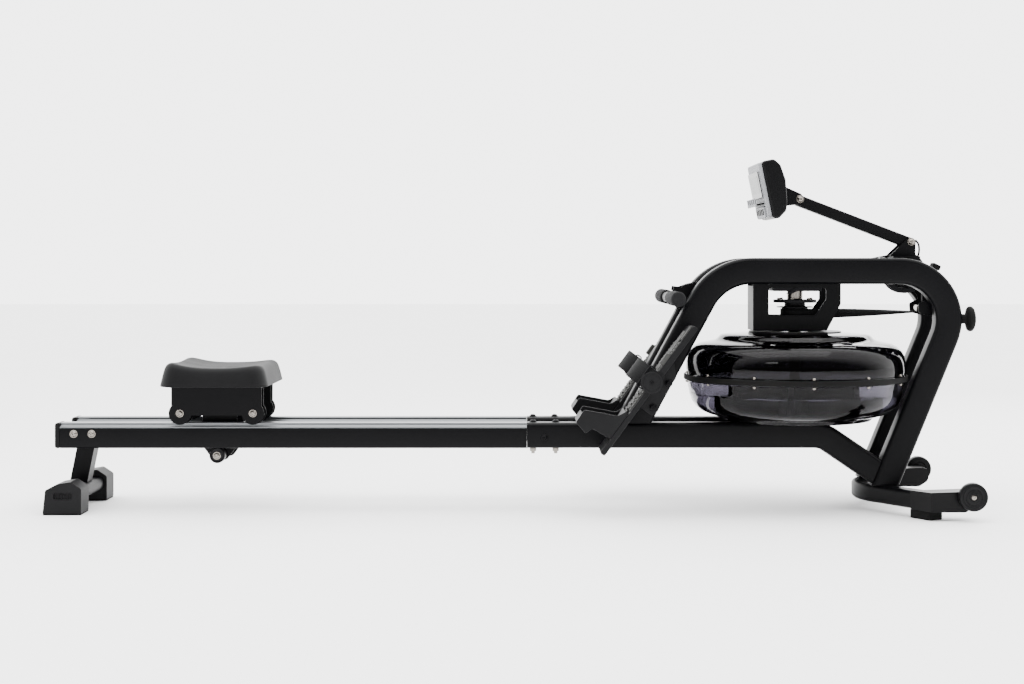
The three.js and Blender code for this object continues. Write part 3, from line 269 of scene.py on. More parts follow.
def settle(piece, smooth=35):
    """Closes seams, turns faces outwards, shades, and leaves the piece at the origin."""
    if piece.mode != "EDIT":
        bpy.ops.object.mode_set(mode="EDIT")
    bpy.ops.mesh.select_all(action="SELECT")
    bpy.ops.mesh.remove_doubles(threshold=1e-6)
    bpy.ops.mesh.normals_make_consistent(inside=False)
    bpy.ops.object.mode_set(mode="OBJECT")
    pick(piece)
    bpy.ops.object.transform_apply(location=True, rotation=True, scale=True)
    bpy.ops.object.shade_smooth_by_angle(angle=math.radians(smooth))
    return piece


def soften(piece, width, segments=2, angle=40):
    """Rounds the piece's sharp edges by a width in mm, with a bevel applied."""
    bevel = piece.modifiers.new("edge_round", "BEVEL")
    bevel.width = width / 1000
    bevel.segments = segments
    bevel.limit_method = "ANGLE"
    bevel.angle_limit = math.radians(angle)
    pick(piece)
    bpy.ops.object.modifier_apply(modifier="edge_round")
    bpy.ops.object.shade_smooth_by_angle(angle=math.radians(35))
    return piece


def fit(piece, material, body, slot, *nodes):
    """Gives the piece its finish and the body it moves with; it stands for CAD nodes."""
    piece.data.materials.clear()
    piece.data.materials.append(material)
    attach(piece, body)
    if nodes:
        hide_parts(*nodes)
    return piece


def bent_tube(name, corners, width, depth, across, steps=20):
    """A rounded section run along corners of (point, bend radius in mm)."""
    points = [point for point, _ in corners]
    heading = (points[1] - points[0]).normalized()
    upward = across.cross(heading)
    section = [points[0] + (across * u + upward * v) / 1000
               for u, v in rounded_rectangle(width, depth, tube_corner)]
    piece = draw(name, section)
    bpy.ops.mesh.edge_face_add()
    here = points[0]
    for i in range(1, len(points) - 1):
        inward = (points[i] - points[i - 1]).normalized()
        outward = (points[i + 1] - points[i]).normalized()
        turn = inward.angle(outward)
        radius = corners[i][1] / 1000
        reach = radius * math.tan(turn / 2)
        start = points[i] - inward * reach
        push(start - here)
        axis = inward.cross(outward).normalized()
        centre = start + axis.cross(inward) * radius
        bpy.ops.mesh.spin(steps=steps, angle=-turn, center=centre, axis=axis)
        here = points[i] + outward * reach
    push(points[-1] - here)
    return piece


def drawn_out(name, corners, along):
    """A flat outline in metres, made solid by pushing it out along a vector."""
    piece = draw(name, corners)
    bpy.ops.mesh.edge_face_add()
    push(Vector(along))
    return settle(piece)


def carve(piece, cutter):
    """Cuts the cutter's shape out of the piece."""
    cut = piece.modifiers.new("carve", "BOOLEAN")
    cut.object = cutter
    pick(piece)
    bpy.ops.object.modifier_apply(modifier="carve")
    bpy.data.objects.remove(cutter)
    bpy.ops.object.shade_smooth_by_angle(angle=math.radians(35))
    return piece


def trim(point, normal):
    """Cuts away what lies on the normal's side of a plane, and closes the cut."""
    bpy.ops.mesh.select_all(action="SELECT")
    bpy.ops.mesh.bisect(plane_co=point, plane_no=normal, use_fill=True, clear_outer=True)


def weld(name, loop, body):
    """A weld bead laid along a closed loop of points."""
    piece = draw(name, loop)
    bpy.ops.object.mode_set(mode="OBJECT")
    pick(piece)
    bpy.ops.object.convert(target="CURVE")
    piece.data.bevel_depth = weld_bead / 1000
    piece.data.bevel_resolution = 2
    bpy.ops.object.convert(target="MESH")
    bpy.ops.object.mode_set(mode="EDIT")
    settle(piece, 60)
    return fit(piece, powder_coat, body, "powder_coat")


# Satin polyester powder coat: a fine orange peel of about 1.5 mm, drawn a little coarser
# than life so that it shows, with a slow drift in gloss and a hint of handling marks
powder_coat = new_material("powder_coated_steel")
place_on = own_place(powder_coat)
peel = noise(powder_coat, place_on, 620.0, 2.0)
drift = noise(powder_coat, place_on, 9.0, 4.0)
shade = two_tones(powder_coat, coat_colours, drift)
gloss = spread(powder_coat, drift, 0.33, 0.47)
bumps = relief(powder_coat, peel, 0.12, 0.0004)
surface(powder_coat, {"IOR": 1.5, "Specular IOR Level": 0.08},
        {"Base Color": shade, "Roughness": gloss, "Normal": bumps})


def line_x(point, angle, z):
    """The X where a line through a point, at an angle above level, reaches height z."""
    return point[0] + (z - point[1]) / math.tan(angle)


def foot_x(y):
    return foot_apex_x + foot_spread * abs(y)


along_y = Vector((0, 1, 0))
sides = (("right", -1), ("left", 1))
beam_middle = beam_top - beam_height / 2
for side, sign in sides:
    y = sign * rail_y

    arch = bent_tube(f"arch_{side}", [
        (at(line_x(rear_point, rear_angle, 150), y, 150), 0),
        (at(line_x(rear_point, rear_angle, arch_top), y, arch_top), rear_bend),
        (at(line_x(post_point, post_angle, arch_top), y, arch_top), post_bend),
        (at(line_x(post_point, post_angle, 20), y, 20), 0),
    ], tube_width, arch_depth, along_y)
    bpy.ops.mesh.select_all(action="SELECT")
    settle(arch)
    bpy.ops.object.mode_set(mode="EDIT")
    trim(at(0, 0, foot_top), (0, 0, -1))
    bpy.ops.object.mode_set(mode="OBJECT")
    clear_selection()
    bpy.ops.mesh.primitive_cube_add(size=1, location=at(300, y, 100))
    block = bpy.context.object
    block.dimensions = (0.5, 0.1, (beam_top + 0.3 - 100) * 2 / 1000)
    bpy.ops.object.transform_apply(location=True, scale=True)
    carve(arch, block)
    fit(arch, powder_coat, "frame", "powder_coat", f"arch_tube_{side}")

    reach = 240
    beam = bent_tube(f"front_beam_tube_{side}", [
        (at(41, y, beam_middle), 0),
        (at(front_bend_x, y, beam_middle), 70),
        (at(front_bend_x + reach * math.cos(front_slope), y,
            beam_middle - reach * math.sin(front_slope)), 0),
    ], tube_width, beam_height, along_y, 12)
    post_face = arch_depth / 2 / math.sin(post_angle) + 0.3
    trim(at(line_x(post_point, post_angle, 100) - post_face, y, 100),
         (math.sin(post_angle), 0, -math.cos(post_angle)))
    settle(beam)
    fit(beam, powder_coat, "frame", "powder_coat", f"front_beam_{side}")

    half = tube_width / 2 - 3
    stride = arch_depth / math.sin(rear_angle) / 2 - 2
    foot_middle = line_x(rear_point, rear_angle, beam_top)
    weld(f"weld_arch_foot_{side}", [at(foot_middle + u * stride, y + v * half, beam_top + 0.5)
                                    for u, v in ((-1, -1), (1, -1), (1, 1), (-1, 1))], "frame")
    stride = arch_depth / math.sin(post_angle) / 2 - 2
    foot_middle = line_x(post_point, post_angle, foot_top)
    weld(f"weld_post_foot_{side}", [at(foot_middle + u * stride, y + v * half, foot_top + 0.5)
                                    for u, v in ((-1, -1), (1, -1), (1, 1), (-1, 1))], "frame")

front_foot = bent_tube("front_foot", [
    (at(foot_x(190), -190, 40), 0),
    (at(foot_apex_x, 0, 40), 126),
    (at(foot_x(190), 190, 40), 0),
], 40, 45, Vector((0, 0, 1)), 32)
settle(front_foot)
fit(front_foot, powder_coat, "frame", "powder_coat", "front_foot_tube")

for node in ("rear_leg", "rear_foot_tube", "drive_bracket", "pulley_frame", "console_base",
             "handle_rest"):
    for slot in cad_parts[node].material_slots:
        slot.material = powder_coat


# ---- Seat rails -----------------------------------------------------------------------
# Each rail is a black steel tube with an extruded aluminium track fixed on top for the
# seat rollers. The track is clear anodised, with the fine die lines of an extrusion.

rail_rear = -1026
rail_front = 40.7
rail_low = 145
rail_height = 46
rail_corner = 5
track_colours = ("#747678", "#848688")
track_profile = (
    # half width, height, corner radius
    (24, 191.3, 0), (24, 194.2, 1.2), (15.5, 194.6, 1), (14.4, 196.6, 0.5), (12.2, 197.0, 0.4),
    (12.2, 198.0, 0.4), (13, 198.6, 0.4), (13, beam_top, 2.6),
)

# Clear-anodised aluminium: pale satin metal with die lines along the rail, about 0.8 mm
# apart, drawn at 2 mm
anodised = new_material("anodised_aluminium")
place_on = own_place(anodised)
stretched = add_node(anodised, "ShaderNodeMapping", {"Scale": (0.8, 500.0, 500.0)},
                     {"Vector": place_on})
die_lines = noise(anodised, stretched.outputs["Vector"], 1.0, 3.0)
shade = two_tones(anodised, track_colours, die_lines)
gloss = spread(anodised, die_lines, 0.24, 0.42)
bumps = relief(anodised, die_lines, 0.08, 0.0002)
surface(anodised, {"Metallic": 1.0},
        {"Base Color": shade, "Roughness": gloss, "Normal": bumps})

for side, sign in sides:
    y = sign * rail_y
    middle = rail_low + rail_height / 2
    rail_long = ((rail_front - rail_rear) / 1000, 0, 0)
    tube = drawn_out(f"rail_{side}", [
        at(rail_rear, y + u, middle + v)
        for u, v in rounded_rectangle(tube_width, rail_height, rail_corner)], rail_long)
    fit(tube, powder_coat, "frame", "powder_coat", f"rail_tube_{side}")

    outline = list(track_profile) + [(-w, z, r) for w, z, r in reversed(track_profile)]
    track = drawn_out(f"track_{side}", [
        at(rail_rear, y + u, v) for u, v in rounded(outline, 0, 3)], rail_long)
    fit(track, anodised, "frame", "rail_aluminium", f"rail_track_{side}")


# ---- Rail end caps and rear foot caps -------------------------------------------------
# Injection-moulded ABS with a spark-eroded grain. The foot caps carry a ribbed recess on
# the outer face and stand on a bonded rubber sole.

cap_depth = 12
cap_corner = 12
foot_cap_x = -1000
foot_cap_inner = 81
foot_cap_outer = 151
sole_height = 3
recess = {"x": -1004.5, "z": 43, "width": 41, "height": 14, "depth": 4, "ribs": 6}
grain_colours = ("#0f0f10", "#161617")
rubber_colours = ("#0a0a0a", "#111111")


def board(name, outline, low, high, radius=0, steps=6):
    """An outline in X and Z, in mm, with rounded corners, made solid across Y."""
    return drawn_out(name, [at(u, low, v) for u, v in rounded(outline, radius, steps)],
                     (0, (high - low) / 1000, 0))


def copy_of(piece, name):
    pick(piece)
    bpy.ops.object.duplicate()
    bpy.context.object.name = name
    bpy.context.object.data.name = name
    return bpy.context.object


def joined(name, pieces):
    clear_selection()
    for piece in pieces:
        piece.select_set(True)
    bpy.context.view_layer.objects.active = pieces[0]
    bpy.ops.object.join()
    bpy.context.object.name = name
    bpy.context.object.data.name = name
    return bpy.context.object


def moulded(name, colours, grain, depth, roughness):
    """A moulded polymer: two tones, and a grain so many mm across and so many mm deep."""
    polymer = new_material(name)
    place_on = own_place(polymer)
    texture = add_node(polymer, "ShaderNodeTexVoronoi",
                       {"feature": "SMOOTH_F1", "Scale": 1000 / grain},
                       {"Vector": place_on})
    cloud = noise(polymer, place_on, 14.0, 4.0)
    shade = two_tones(polymer, colours, cloud)
    gloss = spread(polymer, cloud, roughness - 0.06, roughness + 0.06)
    bumps = relief(polymer, texture.outputs["Distance"], 0.3, depth / 1000)
    surface(polymer, {"IOR": 1.52, "Specular IOR Level": 0.09},
            {"Base Color": shade, "Roughness": gloss, "Normal": bumps})
    return polymer


# Black ABS from a spark-eroded mould: grain of about 0.6 mm, drawn at 1.4 mm so it shows
grained_abs = moulded("grained_black_abs", grain_colours, 1.4, 0.25, 0.5)
# Smooth semi-gloss black ABS of the caps and covers: only a faint orange peel
smooth_abs = moulded("smooth_black_abs", ("#070708", "#0b0b0c"), 2.2, 0.06, 0.34)
# Black vulcanised rubber: dull, with a dusty bloom
black_rubber = moulded("vulcanised_rubber", rubber_colours, 1.8, 0.2, 0.78)

for side, sign in sides:
    back = rail_rear - cap_depth
    cap = board(f"rail_cap_{side}", [
        (rail_rear - 0.3, rail_low), (rail_rear - 0.3, beam_top),
        (back, beam_top, cap_corner), (back, rail_low, cap_corner),
    ], sign * rail_y - tube_width / 2, sign * rail_y + tube_width / 2)
    soften(cap, 2.6, 3, 50)
    fit(cap, smooth_abs, "frame", "dark_plastic", f"rail_end_cap_{side}")

    x = foot_cap_x
    cap = board(f"foot_cap_{side}", [
        (x - 50, sole_height), (x + 37, sole_height), (x + 37, 59, 8), (x + 13, 75, 10),
        (x - 18, 70, 10), (x - 44.6, 56, 7),
    ], *sorted((sign * foot_cap_inner, sign * foot_cap_outer)))
    soften(cap, 2.2, 3, 28)
    x0 = recess["x"] - recess["width"] / 2
    x1 = recess["x"] + recess["width"] / 2
    z0 = recess["z"] - recess["height"] / 2
    z1 = recess["z"] + recess["height"] / 2
    outer = sign * foot_cap_outer
    floor_y = sign * (foot_cap_outer - recess["depth"])
    cutter = board("recess_cutter", [(x0, z0), (x1, z0), (x1, z1), (x0, z1)],
                   *sorted((floor_y, outer + sign * 3)), radius=3)
    carve(cap, cutter)
    fit(cap, grained_abs, "frame", "moulded_plastic", f"rear_foot_cap_{side}")

    pitch = recess["width"] / recess["ribs"]
    ribs = []
    for i in range(recess["ribs"]):
        rib_x = x0 + pitch * (i + 0.5)
        ribs.append(board("rib", [(rib_x - 1, z0 - 0.5), (rib_x + 1, z0 - 0.5),
                                  (rib_x + 1, z1 + 0.5), (rib_x - 1, z1 + 0.5)],
                          *sorted((floor_y - sign * 1, outer - sign * 1.6))))
    ribs = soften(joined(f"foot_cap_ribs_{side}", ribs), 0.5, 2)
    fit(ribs, grained_abs, "frame", "moulded_plastic")

    sole = board(f"foot_cap_sole_{side}", [
        (x - 49, 0), (x + 36, 0), (x + 36, sole_height + 0.4), (x - 49, sole_height + 0.4),
    ], *sorted((sign * (foot_cap_inner + 1), sign * (foot_cap_outer - 1))))
    soften(sole, 0.8, 2)
    fit(sole, black_rubber, "frame", "rubber")


# ---- Bolts of the frame ---------------------------------------------------------------
# Zinc-plated button-head bolts with washers hold the rear leg, black domed bolts with
# nuts below clamp rail to beam. Each is turned once and copied.

washer_radius = 9
bolt_radius = 7
rear_bolts = (-994, -953)
rear_bolt_z = 178
coupling_bolts = (55, 107)
coupling_screw = (81, 169)


def turned(name, profile, steps=40, closed=False):
    """A profile of (radius, height) in mm, spun about an upright axis at the origin."""
    piece = draw(name, [Vector((r / 1000, 0, h / 1000)) for r, h in profile], closed)
    bpy.ops.mesh.spin(steps=steps, angle=2 * math.pi, center=(0, 0, 0), axis=(0, 0, 1))
    return settle(piece)


def stand(piece, place, direction=(0, 0, 1)):
    """Moves a piece made at the origin to its place, its upright axis turned to point."""
    turn = Vector((0, 0, 1)).rotation_difference(Vector(direction)).to_matrix().to_4x4()
    piece.data.transform(Matrix.Translation(place) @ turn)
    return piece


def fasten(pattern, name, place, direction, material, body="frame"):
    """A copy of a bolt or nut, set in its place and given its finish."""
    piece = stand(copy_of(pattern, name), place, direction)
    slot = "powder_coat" if material == powder_coat else "bare_steel"
    return fit(piece, material, body, slot)


# Dulled zinc plate on steel: a slightly warm grey metal with cloudy passivation
zinc_plate = new_material("zinc_plated_steel")
place_on = own_place(zinc_plate)
clouds = noise(zinc_plate, place_on, 260.0, 5.0)
shade = two_tones(zinc_plate, ("#6d6863", "#918c85"), clouds)
gloss = spread(zinc_plate, clouds, 0.16, 0.34)
surface(zinc_plate, {"Metallic": 1.0}, {"Base Color": shade, "Roughness": gloss})

button_bolt = turned("button_bolt", [
    (0, 0), (washer_radius - 0.3, 0), (washer_radius, 0.3), (washer_radius, 1.3),
    (washer_radius - 0.4, 1.6), (bolt_radius, 1.6), (bolt_radius, 2.2), (bolt_radius - 0.9, 3.8),
    (bolt_radius - 2.4, 5.1), (2.9, 5.6), (2.4, 5.3), (2.3, 3.4), (0, 3.4)])
hex_nut = turned("hex_nut", [
    (0, 0), (8, 0), (8, 1.5), (6.6, 1.6), (7.4, 2.4), (7.4, 7.6), (6.6, 8.4), (4.2, 8.4),
    (4.1, 13), (3.4, 13.8), (0, 13.8)], 24)

for side, sign in sides:
    for i, x in enumerate(rear_bolts):
        fasten(button_bolt, f"rear_leg_bolt_{side}_{i + 1}",
               at(x, sign * (rail_y + tube_width / 2), rear_bolt_z), (0, sign, 0), zinc_plate)
    for i, x in enumerate(coupling_bolts):
        fasten(button_bolt, f"coupling_bolt_{side}_{i + 1}", at(x, sign * rail_y, beam_top),
               (0, 0, 1), powder_coat)
        fasten(hex_nut, f"coupling_nut_{side}_{i + 1}", at(x, sign * rail_y, rail_low),
               (0, 0, -1), zinc_plate)
    fasten(button_bolt, f"coupling_screw_{side}",
           at(coupling_screw[0], sign * (rail_y + tube_width / 2), coupling_screw[1]),
           (0, sign, 0), powder_coat)


# ---- Water tank -----------------------------------------------------------------------
# Two smoke-grey polycarbonate halves, blow-moulded and clamped at a flange by twelve
# bolts through a black gasket. Water half fills it, round a six-bladed paddle.

tank_x = 668
seam = 303
flange_radius = 255
band_radius = 258.8
bolt_circle = 252
wall = 3.6
water_level = 268
smoke_upper = "#303034"
# painted light: the bowl's paler tint stands in for the lit water behind its wall
bowl_tint_with_painted_light = "#86848c"
water_tint = "#d9d6df"
upper_outline = (
    (flange_radius, seam + 0.3), (flange_radius, seam + 4.5), (254, seam + 8), (252, seam + 9),
    (253.5, 322), (253, 340), (250, 354), (244, 365), (234, 375), (222, 381.5), (206, 385),
    (192, 387.5), (184, 390), (179, 394), (175, 399), (168, 402.8), (150, 404.5), (125, 406.5),
    (108, 407.6), (104, 407.6), (16, 407.6),
)
lower_outline = (
    (0, beam_top + 0.3), (170, beam_top + 0.3), (176, 205), (181, 211), (190, 214.5), (206, 219),
    (221, 226), (233, 236), (241, 248), (246, 264), (250, 284), (251.5, seam - 9),
    (254, seam - 8), (flange_radius, seam - 4.5), (flange_radius, seam - 0.3),
)


def inward(outline, thickness):
    """The same profile moved inwards by a wall thickness, in reverse order."""
    shifted = []
    for i, (radius, height) in enumerate(outline):
        before = Vector(outline[max(i - 1, 0)])
        after = Vector(outline[min(i + 1, len(outline) - 1)])
        along = (after - before).normalized()
        shifted.append((max(radius - along.y * thickness, 0), height + along.x * thickness))
    return shifted[::-1]


def clear_plastic(name, tint, roughness, ior):
    """A clear body coloured by its tint, with faint flow marks that bend reflections."""
    clear = new_material(name)
    place_on = own_place(clear)
    flow = noise(clear, place_on, 5.0, 1.0)
    bumps = relief(clear, flow, 0.05, 0.0005)
    shade = add_node(clear, "ShaderNodeMix", {"data_type": "RGBA"},
                     {"Factor": flow})
    shade.inputs[6].default_value = [c * 0.85 for c in linear(tint)[:3]] + [1]
    shade.inputs[7].default_value = linear(tint)
    surface(clear, {"IOR": ior, "Transmission Weight": 1.0, "Roughness": roughness},
            {"Base Color": shade.outputs[2], "Normal": bumps})
    return clear


# Smoke-grey polycarbonate: clear, glossy and dark, so that the far wall shows dimly. Its
# index is kept low, as a thin wall barely bends light and the pale floor would veil it
smoke_lid = clear_plastic("smoke_polycarbonate_lid", smoke_upper, 0.01, 1.2)
# The same resin in the bowl, tinted paler: painted light, standing in for the lit water seen
# through it
smoke_bowl = clear_plastic("smoke_polycarbonate_bowl", bowl_tint_with_painted_light, 0.01, 1.2)
# Still tank water, very slightly cloudy
tank_water = clear_plastic("tank_water", water_tint, 0.0, 1.25)

tank_middle = at(tank_x, 0, 0)
lid = turned("tank_lid", list(upper_outline) + inward(upper_outline, wall), 128, True)
fit(stand(lid, tank_middle), smoke_lid, "frame", "tank_shell", "tank_upper")
bowl = turned("tank_bowl", list(lower_outline) + inward(lower_outline, wall), 128, False)
fit(stand(bowl, tank_middle), smoke_bowl, "frame", "tank_shell", "tank_lower")

water_outline = [(r, h) for r, h in reversed(inward(lower_outline, wall + 0.3)) if h < water_level]
water_outline += [(247.2, water_level), (244, water_level), (0, water_level)]
water = turned("water", water_outline, 96)
fit(stand(water, tank_middle), tank_water, "frame", "tank_shell")

# Black EPDM band clamped round the flanges, a dark ring in the step of the lid that is
# painted shade for the shadow in that step, and the moulded foot ring that the bowl stands on
gasket = turned("tank_gasket", [
    (flange_radius + 0.3, seam - 6), (band_radius - 0.8, seam - 6), (band_radius, seam - 5),
    (band_radius, seam + 5), (band_radius - 0.8, seam + 6), (flange_radius + 0.3, seam + 6)],
    96, True)
fit(stand(gasket, tank_middle), black_rubber, "frame", "rubber")
# painted shade: a dark ring laid where the lid's step only falls into shadow
painted_shade_ring = turned("lid_step_ring", [(170.5, 386), (176.6, 386), (176.6, 390), (171.5, 396),
                                     (166, 399.4), (160, 399.6), (160, 395), (165.4, 393.6)],
                   96, True)
fit(stand(painted_shade_ring, tank_middle), smooth_abs, "frame", "dark_plastic")
top_plate = turned("lid_top_plate", [(60, 408), (107, 408), (107.6, 408.6), (107, 409.6),
                                     (60, 409.6)], 96, True)
fit(stand(top_plate, tank_middle), smooth_abs, "frame", "dark_plastic")
foot_ring = turned("bowl_foot_ring", [(150, 208), (168, 208), (170, 210), (170, 213.5),
                                      (168, 215), (150, 215)], 96, True)
fit(stand(foot_ring, tank_middle), smooth_abs, "frame", "dark_plastic")

flange_bolt = turned("flange_bolt", [
    (0, 0), (4.6, 0), (4.8, 0.6), (4.6, 1), (3.6, 1.2), (3.6, 3.6), (3, 4.2), (1.6, 4.4), (0, 3.6),
], 16)
heads, nuts = [], []
for i in range(12):
    turn = math.radians(30 * i + 0.4)
    x = tank_x + bolt_circle * math.sin(turn)
    y = -bolt_circle * math.cos(turn)
    heads.append(stand(copy_of(flange_bolt, "head"), at(x, y, seam + 8.6)))
    nuts.append(stand(copy_of(flange_bolt, "nut"), at(x, y, seam - 8.6), (0, 0, -1)))
fit(joined("tank_flange_bolts", heads), zinc_plate, "frame", "bare_steel")
fit(joined("tank_flange_nuts", nuts), zinc_plate, "frame", "bare_steel")

# The paddle stays as the frame gives it, in the glass-filled nylon of its moulding
glass_nylon = moulded("glass_filled_nylon", ("#0c0c0e", "#141417"), 3.0, 0.15, 0.5)
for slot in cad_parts["impeller"].material_slots:
    slot.material = glass_nylon


# ---- Strap drive ----------------------------------------------------------------------
# A nylon drum on the paddle shaft winds the strap, which twists a quarter turn on its way
# to a steel guide roller and over the front pulley, then runs back to the handle.

drum_low = 434
drum_high = 467
drum_radius = 30
drum_rim = 42
strap_width = 23
strap_half = 1
pulley = Vector((921.5, 547))
groove_radius = 44
guide = Vector((957.8, 464))
handle_middle = Vector((375, 488))
strap_rows = 160


def about_y(piece, x, y, z):
    """Turns a piece made on the upright axis to lie along Y, and moves it to its place."""
    return stand(piece, at(x, y, z), (0, 1, 0))


drum = turned("drum", [
    (12.4, drum_low), (drum_rim - 0.8, drum_low), (drum_rim, drum_low + 0.8),
    (drum_rim, drum_low + 1.8), (drum_rim - 1, drum_low + 2.5), (drum_radius, drum_low + 2.8),
    (drum_radius, drum_high - 2.8), (drum_rim - 1, drum_high - 2.5), (drum_rim, drum_high - 1.8),
    (drum_rim, drum_high - 0.8), (drum_rim - 0.8, drum_high), (26, drum_high), (24, drum_high + 2),
    (24, 476), (49, 476), (50, 477), (50, 482), (49, 483), (18, 483), (18, 485), (12.4, 485)],
    64, True)
fit(stand(drum, at(tank_x, 0, 0)), glass_nylon, "strap_drum", "dark_plastic", "strap_drum")
drum_bolts = []
for i in range(6):
    turn = math.radians(60 * i + 12)
    drum_bolts.append(stand(copy_of(flange_bolt, "drum_bolt"),
                            at(tank_x + 40 * math.cos(turn), 40 * math.sin(turn), 483)))
fit(joined("drum_bolts", drum_bolts), zinc_plate, "strap_drum", "bare_steel")

# Bearing block under the bracket's roof, cast in the same nylon, with its slanting stay
bearing_block = board("bearing_block", [(612, 503, 3), (724, 503, 3), (724, 517, 3), (700, 539, 3),
                                        (640, 539, 3), (612, 517, 3)], -40, 40)
soften(bearing_block, 1.2, 2)
stay = board("bearing_stay", [(640, 497), (655, 497), (716, 530), (706, 533)], -43.4, -40.4)
fit(joined("bearing_block", [bearing_block, stay]), glass_nylon, "frame", "dark_plastic")
collar = turned("shaft_collar", [(12.4, 485.4), (18, 485.4), (18, 502.6), (12.4, 502.6)], 40, True)
fit(stand(collar, at(tank_x, 0, 0)), zinc_plate, "frame", "bare_steel")

wheel = turned("strap_pulley", [
    (6.4, -9), (11, -9), (12, -8), (12, -4), (34, -3), (37, -12), (38, -15), (48.2, -15.5),
    (49, -14.8), (49, -13.6), (45, -12.4), (groove_radius, -12), (groove_radius, 12), (45, 12.4),
    (49, 13.6), (49, 14.8), (48.2, 15.5), (38, 15), (37, 12), (34, 3), (12, 4), (12, 8), (11, 9),
    (6.4, 9)], 72, True)
holes = []
for i in range(5):
    turn = math.radians(72 * i + 20)
    clear_selection()
    bpy.ops.mesh.primitive_cylinder_add(vertices=24, radius=0.0075, depth=0.02, location=(
        0.0235 * math.cos(turn), 0.0235 * math.sin(turn), 0))
    holes.append(bpy.context.object)
carve(wheel, joined("hole_cutter", holes))
fit(about_y(wheel, *(pulley.x, 0, pulley.y)), glass_nylon, "front_pulley", "dark_plastic",
    "front_pulley")
roller = turned("strap_guide_roller", [
    (3.4, -15.5), (7.2, -15.5), (8, -14.7), (7.7, 0), (8, 14.7), (7.2, 15.5), (3.4, 15.5)],
    36, True)
fit(about_y(roller, guide.x, 0, guide.y), zinc_plate, "guide_roller", "bare_steel",
    "guide_roller")
for side, sign in sides:
    fasten(button_bolt, f"pulley_bolt_{side}",
           at(pulley.x, sign * (rail_y - tube_width / 2 - 3.9), pulley.y), (0, -sign, 0),
           zinc_plate)
guard_lean = math.radians(22)
guard_screws = [stand(copy_of(flange_bolt, "guard_screw"), at(996.6, y, 500),
                      (math.cos(guard_lean), 0, math.sin(guard_lean))) for y in (-20, 20)]
fit(joined("guard_screws", guard_screws), zinc_plate, "frame", "bare_steel")
for i, x in enumerate((594, 742)):
    for side, sign in sides:
        fasten(button_bolt, f"bracket_bolt_{side}_{i + 1}", at(x, sign * 47, 527), (0, sign, 0),
               powder_coat)


def woven(name, colours):
    """Flat-woven webbing: a 1.8 mm rib along the strap crossed by the weft, by its own map."""
    cloth = new_material(name)
    own_map = add_node(cloth, "ShaderNodeUVMap", {"uv_map": "UVMap"}, {})
    weft = add_node(cloth, "ShaderNodeTexWave",
                    {"wave_type": "BANDS", "bands_direction": "X", "Scale": 90.0,
                     "Distortion": 1.2, "Detail": 2.0}, {"Vector": own_map.outputs["UV"]})
    warp = add_node(cloth, "ShaderNodeTexWave",
                    {"wave_type": "BANDS", "bands_direction": "Y", "Scale": 70.0,
                     "Distortion": 0.8}, {"Vector": own_map.outputs["UV"]})
    thread = add_node(cloth, "ShaderNodeMath", {"operation": "MULTIPLY"}, {})
    cloth.node_tree.links.new(weft.outputs["Fac"], thread.inputs[0])
    cloth.node_tree.links.new(warp.outputs["Fac"], thread.inputs[1])
    shade = two_tones(cloth, colours, thread.outputs["Value"])
    bumps = relief(cloth, thread.outputs["Value"], 0.5, 0.0004)
    surface(cloth, {"Roughness": 0.78, "Sheen Weight": 0.03, "Sheen Roughness": 0.4,
                    "Specular IOR Level": 0.08},
            {"Base Color": shade, "Normal": bumps})
    return cloth


# Black polyester webbing of the drive: dense
drive_webbing = woven("woven_polyester_webbing", ("#09090a", "#141415"))


def ribbon(name, stations, width, thickness):
    """A flat strap through stations of (middle, across), both vectors, sizes in mm.

    The four edges of each station become a ring, and the map runs in metres along it."""
    mesh = bmesh.new()
    uv_layer = mesh.loops.layers.uv.new("UVMap")
    rings, lengths, length = [], [], 0.0
    for i, (middle, across) in enumerate(stations):
        ahead = stations[min(i + 1, len(stations) - 1)][0] - stations[max(i - 1, 0)][0]
        face = ahead.cross(across).normalized() * thickness / 2000
        edge = across.normalized() * width / 2000
        bulge = edge * (1 - 0.25 * thickness / width)
        rings.append([mesh.verts.new(middle + p) for p in (
            -edge, -bulge + face, bulge + face, edge, bulge - face, -bulge - face)])
        if i:
            length += (middle - stations[i - 1][0]).length
        lengths.append(length)
    ladder = (0, 0.02, 0.98, 1, 0.98, 0.02, 0)
    for i in range(len(rings) - 1):
        for k in range(6):
            corners = (rings[i][k], rings[i][(k + 1) % 6], rings[i + 1][(k + 1) % 6],
                       rings[i + 1][k])
            made = mesh.faces.new(corners)
            made.smooth = True
            spots = ((lengths[i], ladder[k]), (lengths[i], ladder[k + 1]),
                     (lengths[i + 1], ladder[k + 1]), (lengths[i + 1], ladder[k]))
            for loop, (u, v) in zip(made.loops, spots):
                loop[uv_layer].uv = (u, v * width / 1000)
    mesh.faces.new(rings[0][::-1])
    mesh.faces.new(rings[-1])
    bmesh.ops.recalc_face_normals(mesh, faces=mesh.faces)
    data = bpy.data.meshes.new(name)
    mesh.to_mesh(data)
    mesh.free()
    piece = bpy.data.objects.new(name, data)
    bpy.context.collection.objects.link(piece)
    return piece


def arc(middle, radius, first, last, count):
    """Points round a circle in X and Z, with the strap lying flat across Y."""
    turns = [first + (last - first) * i / count for i in range(count + 1)]
    return [(at(middle.x + radius * math.cos(t), 0, middle.y + radius * math.sin(t)), along_y)
            for t in turns]


